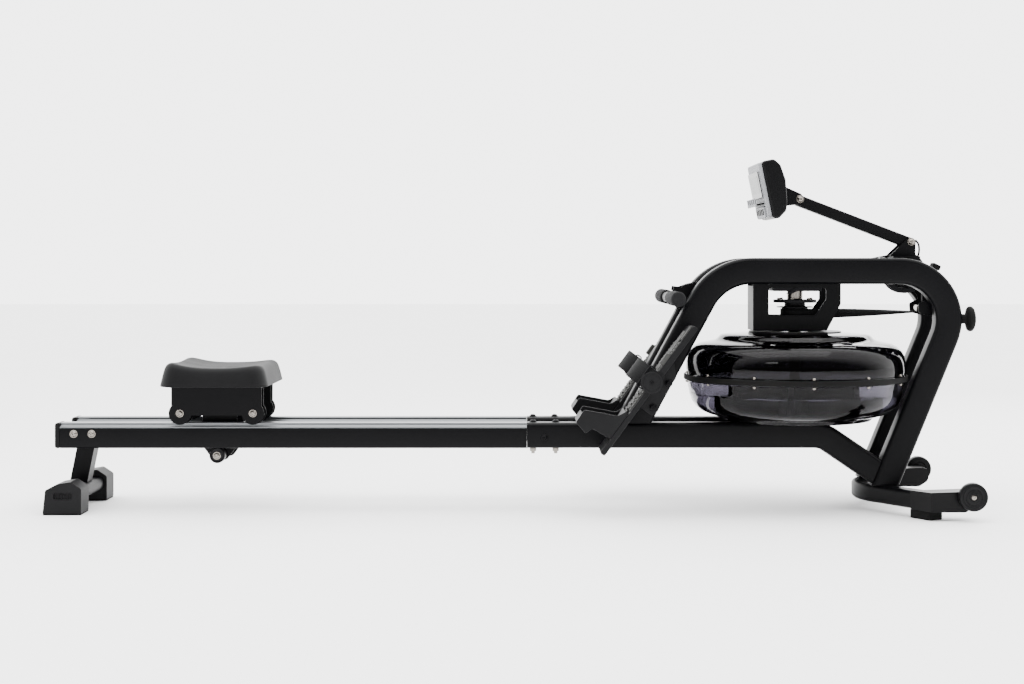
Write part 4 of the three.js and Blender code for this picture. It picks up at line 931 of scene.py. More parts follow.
ride_radius = groove_radius + 0.3 + strap_half
pull_line = handle_middle - pulley
leave = math.atan2(pull_line.y, pull_line.x) + 2 * math.pi - math.acos(
    ride_radius / pull_line.length)
wound = drum_radius + 1.8 + strap_half
drum_mid = (drum_low + drum_high) / 2
winding = []
for i in range(61):
    turn = math.radians(-90 - 720 * (60 - i) / 60)
    radius = wound + 0.2 - 1.6 * (60 - i) / 60
    winding.append((at(tank_x + radius * math.cos(turn), radius * math.sin(turn), drum_mid),
                    Vector((0, 0, 1))))
under = guide.y - 8 - 0.3 - strap_half
run_start = at(tank_x, -wound, drum_mid)
run_end = at(guide.x, 0, under)
run = []
for i in range(1, 61):
    t = i / 60
    roll = t * math.pi / 2
    across = Vector((0, math.sin(roll), math.cos(roll)))
    along = (run_end - run_start).normalized()
    run.append((run_start.lerp(run_end, t), across - along * across.dot(along)))
drive = ribbon("drive_strap_web", winding + run
               + arc(guide, 8 + 0.3 + strap_half, -math.pi / 2, 0, 10)[1:]
               + arc(pulley, ride_radius, 0.0, leave, 48), strap_width, strap_half * 2)
fit(drive, drive_webbing, "frame", "webbing", "drive_strap")

pull_start = at(pulley.x + ride_radius * math.cos(leave), 0,
                pulley.y + ride_radius * math.sin(leave))
pull_along = Vector((-math.sin(leave), 0, math.cos(leave)))
pull_length = (math.sqrt(pull_line.length ** 2 - ride_radius ** 2) - 20.5) / 1000
pull = ribbon("pull_strap_web", [(pull_start + pull_along * pull_length * i / strap_rows, along_y)
                                 for i in range(strap_rows + 1)], strap_width, strap_half * 2)
pull.data.materials.append(drive_webbing)
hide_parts("pull_strap")
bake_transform(pull)


# ---- Handle and its rest --------------------------------------------------------------
# A straight steel bar with two nitrile foam grips, held to the strap by a welded slotted
# lug. It hangs in a pair of laser-cut hooks between the arches.

bar_radius = 12.5
bar_half = 228
grip_radius = 16.8
grip_start = 62
foam_colours = ("#131314", "#1e1e1f")

# Closed-cell nitrile foam: matt mid grey, with pores about 0.7 mm across, drawn at 1.2 mm
nitrile_foam = new_material("nitrile_foam")
place_on = own_place(nitrile_foam)
pores = add_node(nitrile_foam, "ShaderNodeTexVoronoi", {"Scale": 850.0},
                 {"Vector": place_on})
cloud = noise(nitrile_foam, place_on, 60.0, 6.0)
shade = two_tones(nitrile_foam, foam_colours, cloud)
bumps = relief(nitrile_foam, pores.outputs["Distance"], 0.6, 0.0005)
surface(nitrile_foam, {"Roughness": 0.92, "Specular IOR Level": 0.08, "Sheen Weight": 0.02,
                       "Sheen Roughness": 0.5},
        {"Base Color": shade, "Normal": bumps})

handle_x, handle_z = handle_middle
bar = turned("handle_tube", [
    (0, -bar_half), (bar_radius - 1, -bar_half), (bar_radius, -bar_half + 1),
    (bar_radius, bar_half - 1), (bar_radius - 1, bar_half), (0, bar_half)], 48)
fit(about_y(bar, handle_x, 0, handle_z), powder_coat, "handle", "powder_coat", "handle_bar")
lug_x = handle_x + bar_radius
lug = board("strap_lug", [
    (lug_x - 3, handle_z - 4.4), (lug_x + 9, handle_z - 4.4, 3), (lug_x + 9, handle_z + 9.6, 3),
    (lug_x - 3, handle_z + 9.6)], -strap_width / 2 - 2, strap_width / 2 + 2)
soften(lug, 1, 2)
fit(lug, powder_coat, "handle", "powder_coat")
for side, sign in sides:
    end = bar_half + 4
    grip = turned(f"foam_grip_{side}", [
        (bar_radius + 0.3, grip_start), (grip_radius - 2.2, grip_start),
        (grip_radius - 0.7, grip_start + 0.7), (grip_radius, grip_start + 2.4),
        (grip_radius, end - 6), (grip_radius - 0.6, end - 3.4), (grip_radius - 2.2, end - 1.3),
        (grip_radius - 5, end - 0.3), (grip_radius - 9, end), (0, end), (0, bar_half + 0.3),
        (bar_radius + 0.3, bar_half + 0.3)], 64, True)
    stand(grip, at(handle_x, 0, handle_z), (0, sign, 0))
    fit(grip, nitrile_foam, "handle", "foam", f"handle_grip_{side}")
    fasten(button_bolt, f"hook_bolt_{side}", at(handle_x + 60, sign * 31.5, handle_z),
           (0, sign, 0), zinc_plate)


# ---- Console arm and head -------------------------------------------------------------
# A flat steel arm folds on a pin above the front bend and carries a tilting head: black
# ABS back shell, pale ABS bezel and display housing, a tablet ledge and a keypad.

arm_foot = Vector((935.8, 617.8))
arm_head = Vector((677.8, 717))
arm_half_depth = 13
arm_drop = 3
arm_half_width = 12
head_place = at(589.5, 0, 736)
head_lean = math.radians(11.4)
pale_colours = ("#77787b", "#898a8d")

along_arm = (arm_head - arm_foot).normalized()
below = Vector((-abs(along_arm.y), -abs(along_arm.x))) * arm_drop
heading = math.atan2(along_arm.y, along_arm.x)
outline = []
for end, first in ((arm_foot, heading + math.pi / 2), (arm_head, heading - math.pi / 2)):
    outline += [end + below + arm_half_depth * Vector((
        math.cos(first + math.pi * k / 16), math.sin(first + math.pi * k / 16)))
        for k in range(17)]
arm = board("folding_arm", outline, -arm_half_width, arm_half_width)
soften(arm, 3, 3)
fit(arm, powder_coat, "console_arm", "powder_coat", "console_arm")
for side, sign in sides:
    fasten(button_bolt, f"arm_pin_bolt_{side}", at(arm_foot.x, sign * 23, arm_foot.y),
           (0, sign, 0), zinc_plate)
    fasten(button_bolt, f"head_pin_bolt_{side}", at(arm_head.x, sign * 17.2, arm_head.y),
           (0, sign, 0), zinc_plate, "console_head")
    neck = board(f"head_neck_{side}", [
        (619.5, 757), (679.8, 730, 7), (690.2, 717, 8), (674.8, 705.5, 7), (629.5, 700)],
        *sorted((sign * 13.2, sign * 17.2)))
    soften(neck, 0.8, 2)
    fit(neck, powder_coat, "console_head", "powder_coat")


def lean(piece):
    """Leans a piece drawn upright round the head's middle, and puts it in its place."""
    piece.data.transform(Matrix.Translation(head_place) @ Matrix.Rotation(-head_lean, 4, "Y"))
    return piece


def panel(name, x, y, z, radius=3, edge=1.0):
    """A slab between pairs of X, Y and Z in mm, its corners seen from the front rounded."""
    middle = (sum(y) / 2, sum(z) / 2)
    face = rounded_rectangle(y[1] - y[0], z[1] - z[0], radius)
    piece = drawn_out(name, [Vector((x[0], middle[0] + u, middle[1] + v)) / 1000
                             for u, v in face], ((x[1] - x[0]) / 1000, 0, 0))
    if edge:
        soften(piece, edge, 3)
    return piece


# Pale grey ABS of the bezel and keypad: fine matt grain
pale_abs = moulded("pale_grey_abs", pale_colours, 1.0, 0.1, 0.46)
# Black glass of the display: hard gloss with the faintest waviness
display_glass = moulded("display_glass", ("#07080a", "#0b0c0f"), 30.0, 0.05, 0.1)
# Liquid crystal panel: grey green, behind the glass
lcd_panel = moulded("liquid_crystal_panel", ("#1b211e", "#232a26"), 2.5, 0.05, 0.18)

shell_outline = [(0.3, -66, 8), (14, -70, 8), (34, -56, 8), (40, -40, 8), (47, 14, 14),
                 (42, 50, 14), (30, 66, 12), (0.3, 66, 8)]
shell = drawn_out("head_shell", [Vector((u, -95, v)) / 1000
                                 for u, v in rounded(shell_outline, 0, 8)], (0, 0.19, 0))
soften(shell, 5, 4, 50)
vents = []
for i in range(6):
    clear_selection()
    bpy.ops.mesh.primitive_cube_add(size=1, location=(0.046, 0, -0.004 + 0.007 * i))
    bpy.context.object.dimensions = (0.012, 0.09, 0.003)
    bpy.ops.object.transform_apply(location=True, scale=True)
    vents.append(bpy.context.object)
carve(shell, joined("vent_cutter", vents))
fit(lean(shell), smooth_abs, "console_head", "dark_plastic", "console_shell")

bezel = panel("head_bezel", (-8, 0), (-93, 93), (-64, 64), 10, 2.4)
housing = panel("display_housing", (-10, -7.5), (-83, 83), (-17, 47), 7, 1)
keypad = panel("keypad", (-12, -7.5), (-68, 68), (-62, -36), 6, 1.4)
fit(lean(joined("head_bezel", [bezel, housing, keypad])), pale_abs, "console_head",
    "light_plastic", "console_bezel")
glass = panel("display_window", (-12.2, -10.2), (-80, 80), (-15, 45), 6, 0.6)
fit(lean(glass), display_glass, "console_head", "screen", "console_screen")
lcd = panel("display_lcd", (-12.5, -12.2), (-62, 62), (-4, 36), 2, 0)
fit(lean(lcd), lcd_panel, "console_head", "screen")
keys = []
for y in (-48, -24, 0, 24, 48):
    key = turned("key", [(0, -3), (7, -3), (7, 0.8), (6.2, 1.6), (4, 1.9), (0, 1.7)], 28)
    keys.append(stand(key, Vector((-0.012, y / 1000, -0.049)), (-1, 0, 0)))
fit(lean(joined("keypad_keys", keys)), smooth_abs, "console_head", "dark_plastic")

shelf = panel("ledge_shelf", (-26, -8.3), (-70, 70), (-31.5, -27.5), 1.5, 1)
fit(lean(shelf), smooth_abs, "console_head", "dark_plastic", "tablet_ledge")
teeth = [panel("tooth", (-29, -26.2), (y - 6, y + 6), (-33, -14), 3, 1.1)
         for y in (-58, -29, 0, 29, 58)]
teeth.append(panel("ledge_bar", (-28.8, -26.3), (-70, 70), (-33, -27), 2.5, 1))
fit(lean(joined("ledge_lip", teeth)), pale_abs, "console_head", "light_plastic")

# Sensor cable: PVC-jacketed, 4.8 mm, looping from the arm's foot down to the front bend
cable_stops = ((950.8, 0, 621.8), (958.8, 4, 611.8), (962.8, 16, 595.8), (962.8, 30, 581.8),
               (961.8, 40, 567.8))
cable_width = 4.8
# Soft black PVC: low gloss
pvc_jacket = moulded("soft_pvc_jacket", ("#080809", "#0f0f10"), 1.6, 0.08, 0.5)
knots = [Vector(stop) for stop in cable_stops]
knots = [knots[0] * 2 - knots[1]] + knots + [knots[-1] * 2 - knots[-2]]
route = []
for a, b, c, d in zip(knots, knots[1:], knots[2:], knots[3:]):
    for k in range(6):
        t = k / 6
        route.append(0.5 * (2 * b + (c - a) * t + (2 * a - 5 * b + 4 * c - d) * t ** 2
                            + (3 * b - a - 3 * c + d) * t ** 3))
route.append(knots[-2])
cable_curve = bpy.data.curves.new("sensor_cable", "CURVE")
cable_curve.dimensions = "3D"
cable_curve.bevel_depth = cable_width / 2000
cable_curve.bevel_resolution = 4
cable_curve.use_fill_caps = True
spline = cable_curve.splines.new("POLY")
spline.points.add(len(route) - 1)
for point, stop in zip(spline.points, route):
    point.co = (*at(*stop), 1)
cable_curve.materials.append(pvc_jacket)
cable = bpy.data.objects.new("sensor_cable", cable_curve)
bpy.context.collection.objects.link(cable)
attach(cable, "frame")
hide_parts("console_cable")
clip_block = board("cable_grommet", [(985, 558), (1003, 550), (1008, 561), (990, 570)], -14, 14, 3)
soften(clip_block, 1, 2)
fit(clip_block, black_rubber, "frame", "rubber")


# ---- Seat -----------------------------------------------------------------------------
# The pad is self-skinned polyurethane foam poured in one mould: a flared skirt, rounded
# rims, raised ridges front and rear, and a dished middle. It is bolted to the carriage.

seat_x = -670
seat_length = 245
seat_half_width = 145
seat_bottom = 287
seat_corner = 34
seat_middle_height = 325
skin_colours = ("#09090a", "#101011")
rim_steps = (
    # inset in mm, share of the height
    (10, 0), (4, 0), (1.2, 0.012), (0, 0.04), (0, 0.08), (1, 0.16), (3, 0.34), (5.2, 0.52),
    (7.4, 0.68), (9.6, 0.8), (12, 0.88), (15, 0.94), (18.5, 0.975), (22.5, 0.995), (27, 1),
    (34, 1), (43, 1), (54, 1), (66, 1), (79, 1), (92, 1), (104, 1), (114, 1), (120, 1),
)


def seat_top(x, y):
    """Height of the sitting surface: dished across, with a ridge at the rear and front."""
    wing = min(1, abs(y) / 120) ** 2
    lip = min(1, abs(x - seat_x) / 96) ** 2.5
    hollow = math.exp(-((x - seat_x) / 60) ** 2 - (y / 26) ** 2)
    return seat_middle_height + 5 * wing + (13 if x < seat_x else 7) * lip - 2.5 * hollow


# Self-skinned polyurethane: matt charcoal with a fine leather grain of about 1.5 mm
polyurethane_skin = new_material("self_skinned_polyurethane")
place_on = own_place(polyurethane_skin)
grain = add_node(polyurethane_skin, "ShaderNodeTexVoronoi",
                 {"feature": "DISTANCE_TO_EDGE", "Scale": 640.0},
                 {"Vector": place_on})
cloud = noise(polyurethane_skin, place_on, 12.0, 5.0)
shade = two_tones(polyurethane_skin, skin_colours, cloud)
gloss = spread(polyurethane_skin, cloud, 0.48, 0.66)
bumps = relief(polyurethane_skin, grain.outputs["Distance"], 0.35, 0.0003)
surface(polyurethane_skin, {"IOR": 1.48, "Sheen Weight": 0.02, "Specular IOR Level": 0.1},
        {"Base Color": shade, "Roughness": gloss, "Normal": bumps})


def even(outline, count):
    """The same closed outline as a number of evenly spaced points."""
    loop = outline + outline[:1]
    steps = [(b - a).length for a, b in zip(loop, loop[1:])]
    spots, travelled, i = [], 0.0, 0
    for k in range(count):
        wanted = sum(steps) * k / count
        while travelled + steps[i] < wanted:
            travelled += steps[i]
            i += 1
        spots.append(loop[i].lerp(loop[i + 1], (wanted - travelled) / steps[i]))
    return spots


plan = even(rounded_rectangle(seat_length, 2 * seat_half_width, seat_corner, 10), 132)
seat_pad = draw("seat_cushion", [at(seat_x + u * (1 - 20 / seat_length),
                                    v * (1 - 10 / seat_half_width), 0) for u, v in plan])
bpy.ops.mesh.edge_face_add()
centre = at(seat_x, 0, 0)
last = rim_steps[0]
for inset, share in rim_steps[1:]:
    push(Vector((0, 0, (share - last[1]) / 1000 + 1e-5)))
    growth = ((1 - 2 * inset / seat_length) / (1 - 2 * last[0] / seat_length),
              (1 - inset / seat_half_width) / (1 - last[0] / seat_half_width), 1)
    bpy.ops.transform.resize(value=growth, center_override=centre)
    last = (inset, share)
settle(seat_pad, 60)
for vertex in seat_pad.data.vertices:
    x = vertex.co.x * 1000 + datum
    y = vertex.co.y * 1000
    ring = min(range(len(rim_steps)),
               key=lambda k: abs(vertex.co.z - rim_steps[k][1] / 1000 - k * 1e-5))
    height = seat_bottom + (seat_top(x, y) - seat_bottom) * rim_steps[ring][1]
    vertex.co.z = height / 1000
fit(seat_pad, polyurethane_skin, "seat", "seat_skin", "seat_pad")
base_plate = board("seat_base_plate", [(seat_x - 104, 283.4), (seat_x + 104, 283.4),
                                       (seat_x + 104, 287.2), (seat_x - 104, 287.2)], -100, 100)
soften(base_plate, 0.6, 2)
fit(base_plate, powder_coat, "seat", "powder_coat")


# ---- Seat carriage and rollers --------------------------------------------------------
# Folded steel channels with a round ear over each polyurethane roller, and hangers that
# hold a keeper roller under each rail so that the seat can't lift off.

carriage_half = 103.5
carriage_top = 285
roller_radius = 20.7
roller_z = beam_top + 0.3 + roller_radius
roller_offset = 83.5
ear_radius = 26
ear_floor = beam_top + 16
channel_inner, channel_outer = 54, 87
keeper_radius = 18
keeper_z = rail_low - 0.3 - keeper_radius
keeper_y = 66

dip = math.asin((roller_z - ear_floor) / ear_radius)


def ear(x, first, last, count=16):
    turns = [first + (last - first) * k / count for k in range(count + 1)]
    return [(x + ear_radius * math.cos(t), roller_z + ear_radius * math.sin(t)) for t in turns]


side_outline = (ear(seat_x + roller_offset, math.pi + dip, 2 * math.pi + 0.7)
                + [(seat_x + carriage_half, carriage_top, 2),
                   (seat_x - carriage_half, carriage_top, 2)]
                + ear(seat_x - roller_offset, math.pi - 0.7, 2 * math.pi - dip))
plates = []
for sign in (-1, 1):
    for low, high in ((channel_inner, channel_inner + 2.5), (channel_outer - 2.5, channel_outer)):
        plates.append(board("side_plate", side_outline, *sorted((sign * low, sign * high))))
    hanger = board("hanger", [
        (seat_x - 40, carriage_top - 2), (seat_x - 40, rail_low, 8),
        (seat_x - 16, keeper_z - 14, 12), (seat_x + 16, keeper_z - 14, 12),
        (seat_x + 40, rail_low, 8), (seat_x + 40, carriage_top - 2)],
        *sorted((sign * 38, sign * 42)))
    plates.append(hanger)
plates.append(board("carriage_deck", [
    (seat_x - carriage_half, 282), (seat_x + carriage_half, 282),
    (seat_x + carriage_half, 283.3), (seat_x - carriage_half, 283.3)],
    -channel_outer, channel_outer))
carriage = soften(joined("carriage_plates", plates), 0.7, 2)
fit(carriage, powder_coat, "seat", "powder_coat", "seat_carriage")

axle_pattern = turned("axle", [(0, -16.4), (4, -16.4), (4, 16.4), (0, 16.4)], 20)
axles = []
for sign in (-1, 1):
    for offset in (-roller_offset, roller_offset):
        axles.append(about_y(copy_of(axle_pattern, "axle"), seat_x + offset,
                             sign * (channel_inner + channel_outer) / 2, roller_z))
bpy.data.objects.remove(axle_pattern)
keeper_axle = turned("keeper_axle", [(0, -81), (4, -81), (4, 81), (0, 81)], 20)
axles.append(about_y(keeper_axle, seat_x, 0, keeper_z))
fit(joined("carriage_axles", axles), zinc_plate, "seat", "bare_steel")

# Cast polyurethane tyres on nylon hubs: black and smooth
roller_tyre = moulded("cast_polyurethane_tyre", ("#0a0a0b", "#101011"), 4.0, 0.05, 0.36)
# Grey nylon of the bearing hubs
hub_nylon = moulded("grey_nylon_hub", ("#242426", "#303032"), 1.5, 0.08, 0.5)

for side, sign in sides:
    for end, offset in (("rear", -roller_offset), ("front", roller_offset)):
        body = f"seat_roller_{end}_{side}"
        tyre = turned(f"tyre_{end}_{side}", [
            (14, -10.4), (18.6, -11), (19.9, -10.4), (20.6, -8.6), (20.7, -6), (20.7, 6),
            (20.6, 8.6), (19.9, 10.4), (18.6, 11), (14, 10.4)], 64, True)
        fit(about_y(tyre, seat_x + offset, sign * 70.5, roller_z), roller_tyre, body, "roller",
            body)
        hub = turned(f"hub_{end}_{side}", [
            (4.4, -11), (8, -11), (8.6, -9.4), (13, -8.8), (14, -9.6), (14, 9.6), (13, 8.8),
            (8.6, 9.4), (8, 11), (4.4, 11)], 40, True)
        fit(about_y(hub, seat_x + offset, sign * 70.5, roller_z), hub_nylon, body, "roller")
        fasten(button_bolt, f"roller_bolt_{end}_{side}",
               at(seat_x + offset, sign * channel_outer, roller_z), (0, sign, 0), zinc_plate,
               "seat")
    body = f"keeper_roller_{side}"
    tyre = turned(f"keeper_tyre_{side}", [
        (12.4, -11.4), (16, -12), (17.4, -11.2), (18, -9.6), (18, 9.6), (17.4, 11.2), (16, 12),
        (12.4, 11.4)], 56, True)
    fit(about_y(tyre, seat_x, sign * keeper_y, keeper_z), roller_tyre, body, "roller", body)
    hub = turned(f"keeper_hub_{side}", [
        (4.4, -12), (7.6, -12), (8, -10.6), (11.6, -10), (12.4, -10.8), (12.4, 10.8),
        (11.6, 10), (8, 10.6), (7.6, 12), (4.4, 12)], 36, True)
    fit(about_y(hub, seat_x, sign * keeper_y, keeper_z), hub_nylon, body, "roller")
    fasten(button_bolt, f"keeper_bolt_{side}", at(seat_x, sign * 80, keeper_z), (0, sign, 0),
           zinc_plate, "seat")


# ---- Footrests ------------------------------------------------------------------------
# A long moulded footboard is bolted to the outside of each arch. On it are two grey
# anti-slip sole strips, and a heel cup that slides on a perforated strip to set the size.

rest_low = Vector((212, 141))
rest_high = Vector((420, 423))
rest_middle = 165
rest_half = 55
board_thickness = 12
strap_place = 196
strap_band = 48
strap_thick = 3
strap_rise = 64
sole_colours = ("#333332", "#424241")
slope_length = (rest_high - rest_low).length
slope_along = (rest_high - rest_low) / slope_length
slope_up = Vector((-slope_along.y, slope_along.x))
rest_inner = rest_middle - rest_half
rest_outer = rest_middle + rest_half


def on_slope(s, n):
    """The X and Z of a point s along the footboard from its lower end, and n above it."""
    spot = rest_low + slope_along * s + slope_up * n
    return spot.x, spot.y


def slope_board(name, points, y0, y1, edge=0.0):
    """A profile along and above the footboard, made solid across Y, its edges rounded."""
    outline = [(*on_slope(s, n), *rest) for s, n, *rest in points]
    piece = board(name, outline, min(y0, y1), max(y0, y1))
    return soften(piece, edge, 2) if edge else piece


# Dark fibre-filled nylon of the footboard and heel cup: fine matt grain
footrest_nylon = moulded("fibre_filled_nylon", ("#0e0e0f", "#161617"), 1.6, 0.2, 0.5)
# Grey thermoplastic rubber of the sole strips: matt, faintly scuffed
sole_rubber = moulded("pale_thermoplastic_rubber", sole_colours, 2.0, 0.2, 0.72)
# Dark grey polyester webbing of the foot straps
foot_webbing = woven("grey_polyester_webbing", ("#0b0b0c", "#151516"))

for side, sign in sides:
    inner, outer = sign * rest_inner, sign * rest_outer
    parts = [
        slope_board("slab", [(0, 0, 4), (slope_length, 0, 6), (slope_length, board_thickness, 6),
                             (0, board_thickness, 4)], inner, outer, 1.6),
        slope_board("riser", [(134, 1), (134, -7, 2), (254, -7, 2), (262, 1)], inner + sign,
                    outer - sign * 20, 0.8),
        slope_board("mount", [(134, -6), (134, -34, 5), (150, -38, 8), (206, -28, 8),
                              (234, -27, 8), (255, -6)], sign * 95.8, outer - sign * 20, 1.2),
    ]
    for edge_y in (inner, outer - sign * 4):
        parts.append(slope_board("rim", [(185, 11), (185, 14, 1), (slope_length - 8, 14, 1),
                                         (slope_length - 8, 11)], edge_y, edge_y + sign * 4, 0.8))
    for i in range(9):
        s = 8 + 12 * i
        parts.append(slope_board("rib", [(s, 0.6), (s + 3, 0.6), (s + 3, -1.2), (s, -1.2)],
                                 inner + sign * 8, outer - sign * 8))
    fit(joined(f"footboard_{side}", parts), footrest_nylon, "frame", "moulded_plastic",
        f"footplate_{side}")

    soles = []
    for y0, y1 in ((rest_inner + 5.6, rest_middle - 29),
                   (rest_middle + 29, rest_outer - 5.6)):
        soles.append(slope_board("sole", [(112, 11.5), (116, 15.5, 2), (300, 15.5, 2),
                                          (306, 11.5)], sign * y0, sign * y1, 0.8))
        for i in range(20):
            s = 121 + 9 * i
            soles.append(slope_board("ridge", [(s, 15), (s + 1, 17.2, 0.5), (s + 3, 17.2, 0.5),
                                               (s + 4, 15)], sign * (y0 + 2), sign * (y1 - 2)))
    fit(joined(f"sole_strips_{side}", soles), sole_rubber, "frame", "light_plastic")

    upper = [slope_board("upper_bar", [(308, 11.5), (308, 16, 1.5), (346, 16, 2), (346, 11.5)],
                         sign * (rest_outer - 26), sign * (rest_outer - 6), 0.8),
             slope_board("latch", [(238, 11), (238, 24, 3), (266, 24, 3), (266, 11)],
                         sign * (rest_outer - 24), sign * (rest_outer - 2), 1.6)]
    fit(joined(f"size_latch_{side}", upper), sole_rubber, "frame", "light_plastic")

    body = f"heel_slide_{side}"
    strip = slope_board(f"size_strip_{side}", [(60, 12.4), (60, 17), (330, 17, 4), (330, 12.4)],
                        sign * (rest_middle - 25.6), sign * (rest_middle + 25.6), 1)
    pegs = []
    normal = (slope_up.x, 0, slope_up.y)
    for i in range(7):
        hole_x, hole_z = on_slope(226 + 15 * i, 14.7)
        clear_selection()
        bpy.ops.mesh.primitive_cylinder_add(vertices=28, radius=0.0038, depth=0.012)
        pegs.append(stand(bpy.context.object, at(hole_x, sign * rest_middle, hole_z), normal))
    carve(strip, joined("hole_cutter", pegs))
    fit(strip, sole_rubber, body, "light_plastic")

    cup_profile = [(15.7, 63.8, 3), (33.6, 57.2, 6), (38, 12.4), (107, 12.4), (106, 21, 4),
                   (90, 28, 12), (56.4, 97, 5), (22.9, 95.2, 6)]
    parts = [
        slope_board("cheek", cup_profile, inner, inner + sign * 5, 1.6),
        slope_board("cheek", cup_profile, outer - sign * 5, outer, 1.6),
        slope_board("cup_floor", [(38, 17.8), (38, 21), (107, 21, 1.5), (107, 17.8)],
                    inner + sign * 4, outer - sign * 4, 0.8),
        slope_board("cup_back", [(33.6, 57.2), (38, 12.6), (48, 12.6), (45, 60, 6), (46, 96, 2),
                                 (40, 96, 2)], inner + sign * 4, outer - sign * 4, 0.8),
    ]
    for i in range(10):
        s = 55 + 14 * i
        parts.append(slope_board("grip_rib", [(s, 17), (s + 1.2, 19.4, 0.6), (s + 4, 19.4, 0.6),
                                              (s + 5, 17)], sign * (rest_middle - 22),
                                 sign * (rest_middle + 22)))
    fit(joined(f"heel_cup_{side}", parts), footrest_nylon, body, "moulded_plastic", body)
    lip = slope_board(f"heel_lip_{side}", [(15.7, 63.8, 3), (33.6, 57.2, 3), (42, 96, 2),
                                           (22.9, 95.2, 4)], inner + sign * 5, outer - sign * 5,
                      1.2)
    fit(lip, hub_nylon, body, "moulded_plastic")

    shoulder = board_thickness + 8
    reach_y = rest_half + 3.4
    rise = strap_rise - shoulder - strap_thick / 2
    path = [(reach_y, -3 + k * (shoulder + 3) / 8) for k in range(8)]
    path += [(reach_y * math.cos(math.pi * k / 40), shoulder + rise * math.sin(math.pi * k / 40))
             for k in range(41)]
    path += [(-reach_y, -3 + k * (shoulder + 3) / 8) for k in range(7, -1, -1)]
    across = Vector((slope_along.x, 0, slope_along.y))
    stations = []
    for u, n in path:
        x, z = on_slope(strap_place, n)
        stations.append((at(x, sign * (rest_middle + u), z), across))
    strap = ribbon(f"foot_strap_band_{side}", stations, strap_band, strap_thick)
    fit(strap, foot_webbing, "frame", "webbing", f"foot_strap_{side}")

    tab_x, tab_z = on_slope(strap_place - 3, 13)
    tab = turned(f"strap_tab_{side}", [
        (0, 0), (23.4, 0), (24, 0.6), (24, 2.6), (23.2, 3.4), (19.6, 3.6), (19, 3), (18.4, 3.6),
        (0, 3.8)], 56)
    stand(tab, at(tab_x, sign * (rest_outer + 5), tab_z), (0, sign, 0))
    fit(tab, footrest_nylon, "frame", "moulded_plastic")
    fasten(flange_bolt, f"strap_rivet_{side}", at(tab_x, sign * (rest_outer + 8.6), tab_z),
           (0, sign, 0), powder_coat)

    corners = rounded([(-27, -7), (27, -7), (27, 7), (-27, 7)], 4)
    loop = []
    for u, v in corners:
        x, z = on_slope(strap_place + u, 30 + v)
        loop.append(at(x, sign * (rest_outer + 3.4 - 0.1 * abs(v)), z))
    buckle = draw(f"strap_buckle_{side}", loop)
    bpy.ops.object.mode_set(mode="OBJECT")
    pick(buckle)
    bpy.ops.object.convert(target="CURVE")
    buckle.data.bevel_depth = 0.0016
    buckle.data.bevel_resolution = 3
    bpy.ops.object.convert(target="MESH")
    bpy.ops.object.mode_set(mode="EDIT")
    settle(buckle, 60)
    fit(buckle, powder_coat, "frame", "powder_coat")

    for s, n in ((150, -24), (214, -20)):
        x, z = on_slope(s, n)
        fasten(button_bolt, f"footboard_bolt_{side}_{s}", at(x, sign * (rest_outer - 20), z),
               (0, sign, 0), powder_coat)


# ---- Front foot fittings --------------------------------------------------------------
# Moulded caps close the front foot and carry the transport wheels; rubber pads stand the
# machine on the floor, and mushroom bumpers let it be stored upright on its front.

cap_inner = 190.3
cap_outer = 242
wheel_x, wheel_z = 1017, 56
wheel_radius, wheel_width, wheel_outer = 31, 22, 266
pad_middle, pad_long, pad_wide = 194, 64, 42
bumper_z = 440

# Black polypropylene of the wheels: waxy
wheel_polypropylene = moulded("black_polypropylene", ("#0c0c0d", "#141415"), 2.4, 0.1, 0.42)

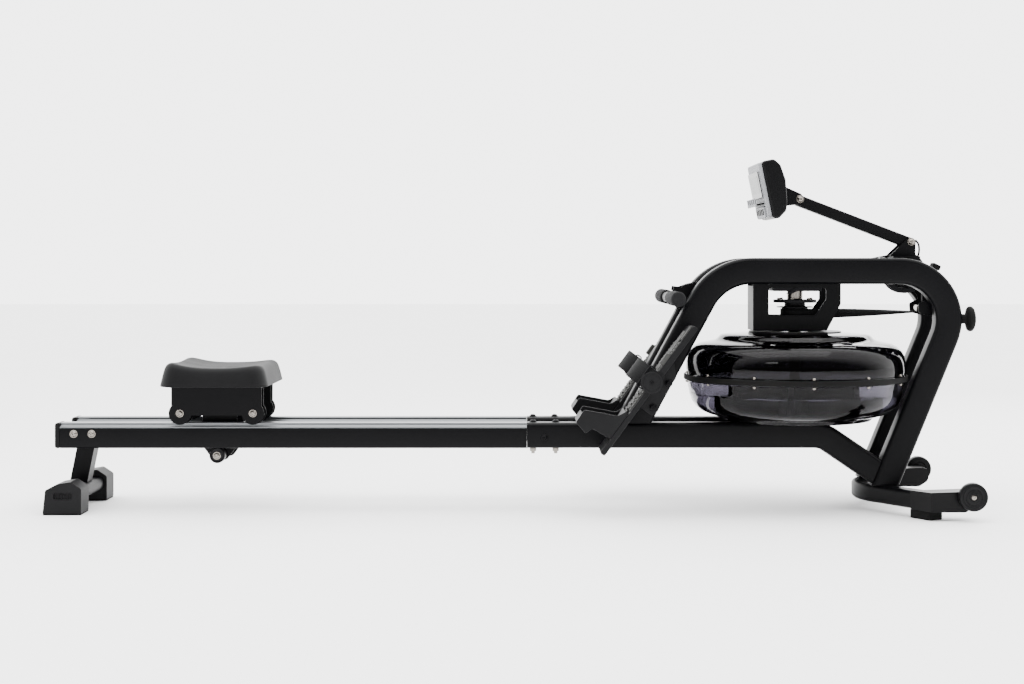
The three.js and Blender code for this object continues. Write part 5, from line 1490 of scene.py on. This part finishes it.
post_bend_x = line_x(post_point, post_angle, arch_top) - post_bend * math.tan(
    (math.pi - post_angle) / 2)
arch_front = post_bend_x + post_bend + arch_depth / 2
for side, sign in sides:
    start = foot_x(cap_inner) - 32
    cap = board(f"foot_end_cap_{side}", [
        (start, 20, 5), (wheel_x - 12, 20, 16), (wheel_x + 9, wheel_z - 22, 14),
        (wheel_x + 14, wheel_z + 6, 12), (wheel_x - 6, wheel_z + 10, 10), (start, 62, 5)],
        *sorted((sign * cap_inner, sign * cap_outer)))
    bpy.ops.object.mode_set(mode="EDIT")
    slope = Vector((-(cap_outer - cap_inner), sign * 34, 0)).normalized()
    trim(at(start, sign * cap_inner, 0), slope)
    bpy.ops.object.mode_set(mode="OBJECT")
    settle(cap)
    soften(cap, 3, 3, 30)
    fit(cap, smooth_abs, "frame", "dark_plastic", f"front_end_cap_{side}")

    half = wheel_width / 2
    wheel = turned(f"wheel_{side}", [
        (6.4, -half), (9, -half), (10, -half + 1.5), (17, -half + 2.2), (18.5, -half + 0.4),
        (20, -half), (24, -half), (24.6, -half + 0.8), (25.4, -half), (wheel_radius - 3, -half),
        (wheel_radius - 0.8, -half + 1.2), (wheel_radius, -half + 3.6),
        (wheel_radius, half - 3.6), (wheel_radius - 0.8, half - 1.2), (wheel_radius - 3, half),
        (25.4, half), (24.6, half - 0.8), (24, half), (20, half), (18.5, half - 0.4),
        (17, half - 2.2), (10, half - 1.5), (9, half), (6.4, half)], 72, True)
    stand(wheel, at(wheel_x, sign * (wheel_outer - half), wheel_z), (0, 1, 0))
    fit(wheel, wheel_polypropylene, f"transport_wheel_{side}", "moulded_plastic",
        f"transport_wheel_{side}")
    axle = turned(f"wheel_axle_{side}", [
        (0, -28), (6, -28), (6, -2.2), (5.4, -1.4), (2.6, -0.9), (2.2, -2.6), (0, -2.6)], 32)
    stand(axle, at(wheel_x, sign * wheel_outer, wheel_z), (0, sign, 0))
    fit(axle, zinc_plate, "frame", "bare_steel")

    arm = Vector((foot_spread, 1)).normalized()
    cross = Vector((arm.y, -arm.x))
    corners = [(foot_x(pad_middle) + u * arm.x + v * cross.x,
                sign * (pad_middle + u * arm.y + v * cross.y))
               for u, v in rounded_rectangle(pad_long, pad_wide, 8)]
    pad = drawn_out(f"floor_pad_{side}", [at(x, y, 0) for x, y in corners], (0, 0, 0.0197))
    soften(pad, 2, 2, 50)
    fit(pad, black_rubber, "frame", "rubber", f"front_pad_{side}")

    bumper = turned(f"bumper_{side}", [
        (0, 0.3), (14, 0.3), (15, 1.4), (12, 3), (11, 6), (11, 11), (13, 13.4), (22, 15.6),
        (27, 17.6), (28.8, 20.4), (29, 23), (28.2, 26.4), (25, 29.6), (19, 32), (11, 33.4),
        (4, 33.9), (3.4, 33), (0, 32.8)], 64)
    stand(bumper, at(arch_front, sign * rail_y, bumper_z), (1, 0, 0))
    fit(bumper, black_rubber, "frame", "rubber", f"storage_bumper_{side}")
    plug = turned(f"arch_plug_{side}", [(0, 0), (7, 0), (7, 1), (5.6, 2), (0, 2.3)], 28)
    stand(plug, at(line_x(rear_point, rear_angle, 250), sign * (rail_y + tube_width / 2), 250),
          (0, sign, 0))
    fit(plug, smooth_abs, "frame", "dark_plastic")


# ---- Patterns -------------------------------------------------------------------------
# The pattern fasteners were only there to copy.
for pattern in (button_bolt, hex_nut, flange_bolt):
    bpy.data.objects.remove(pattern)
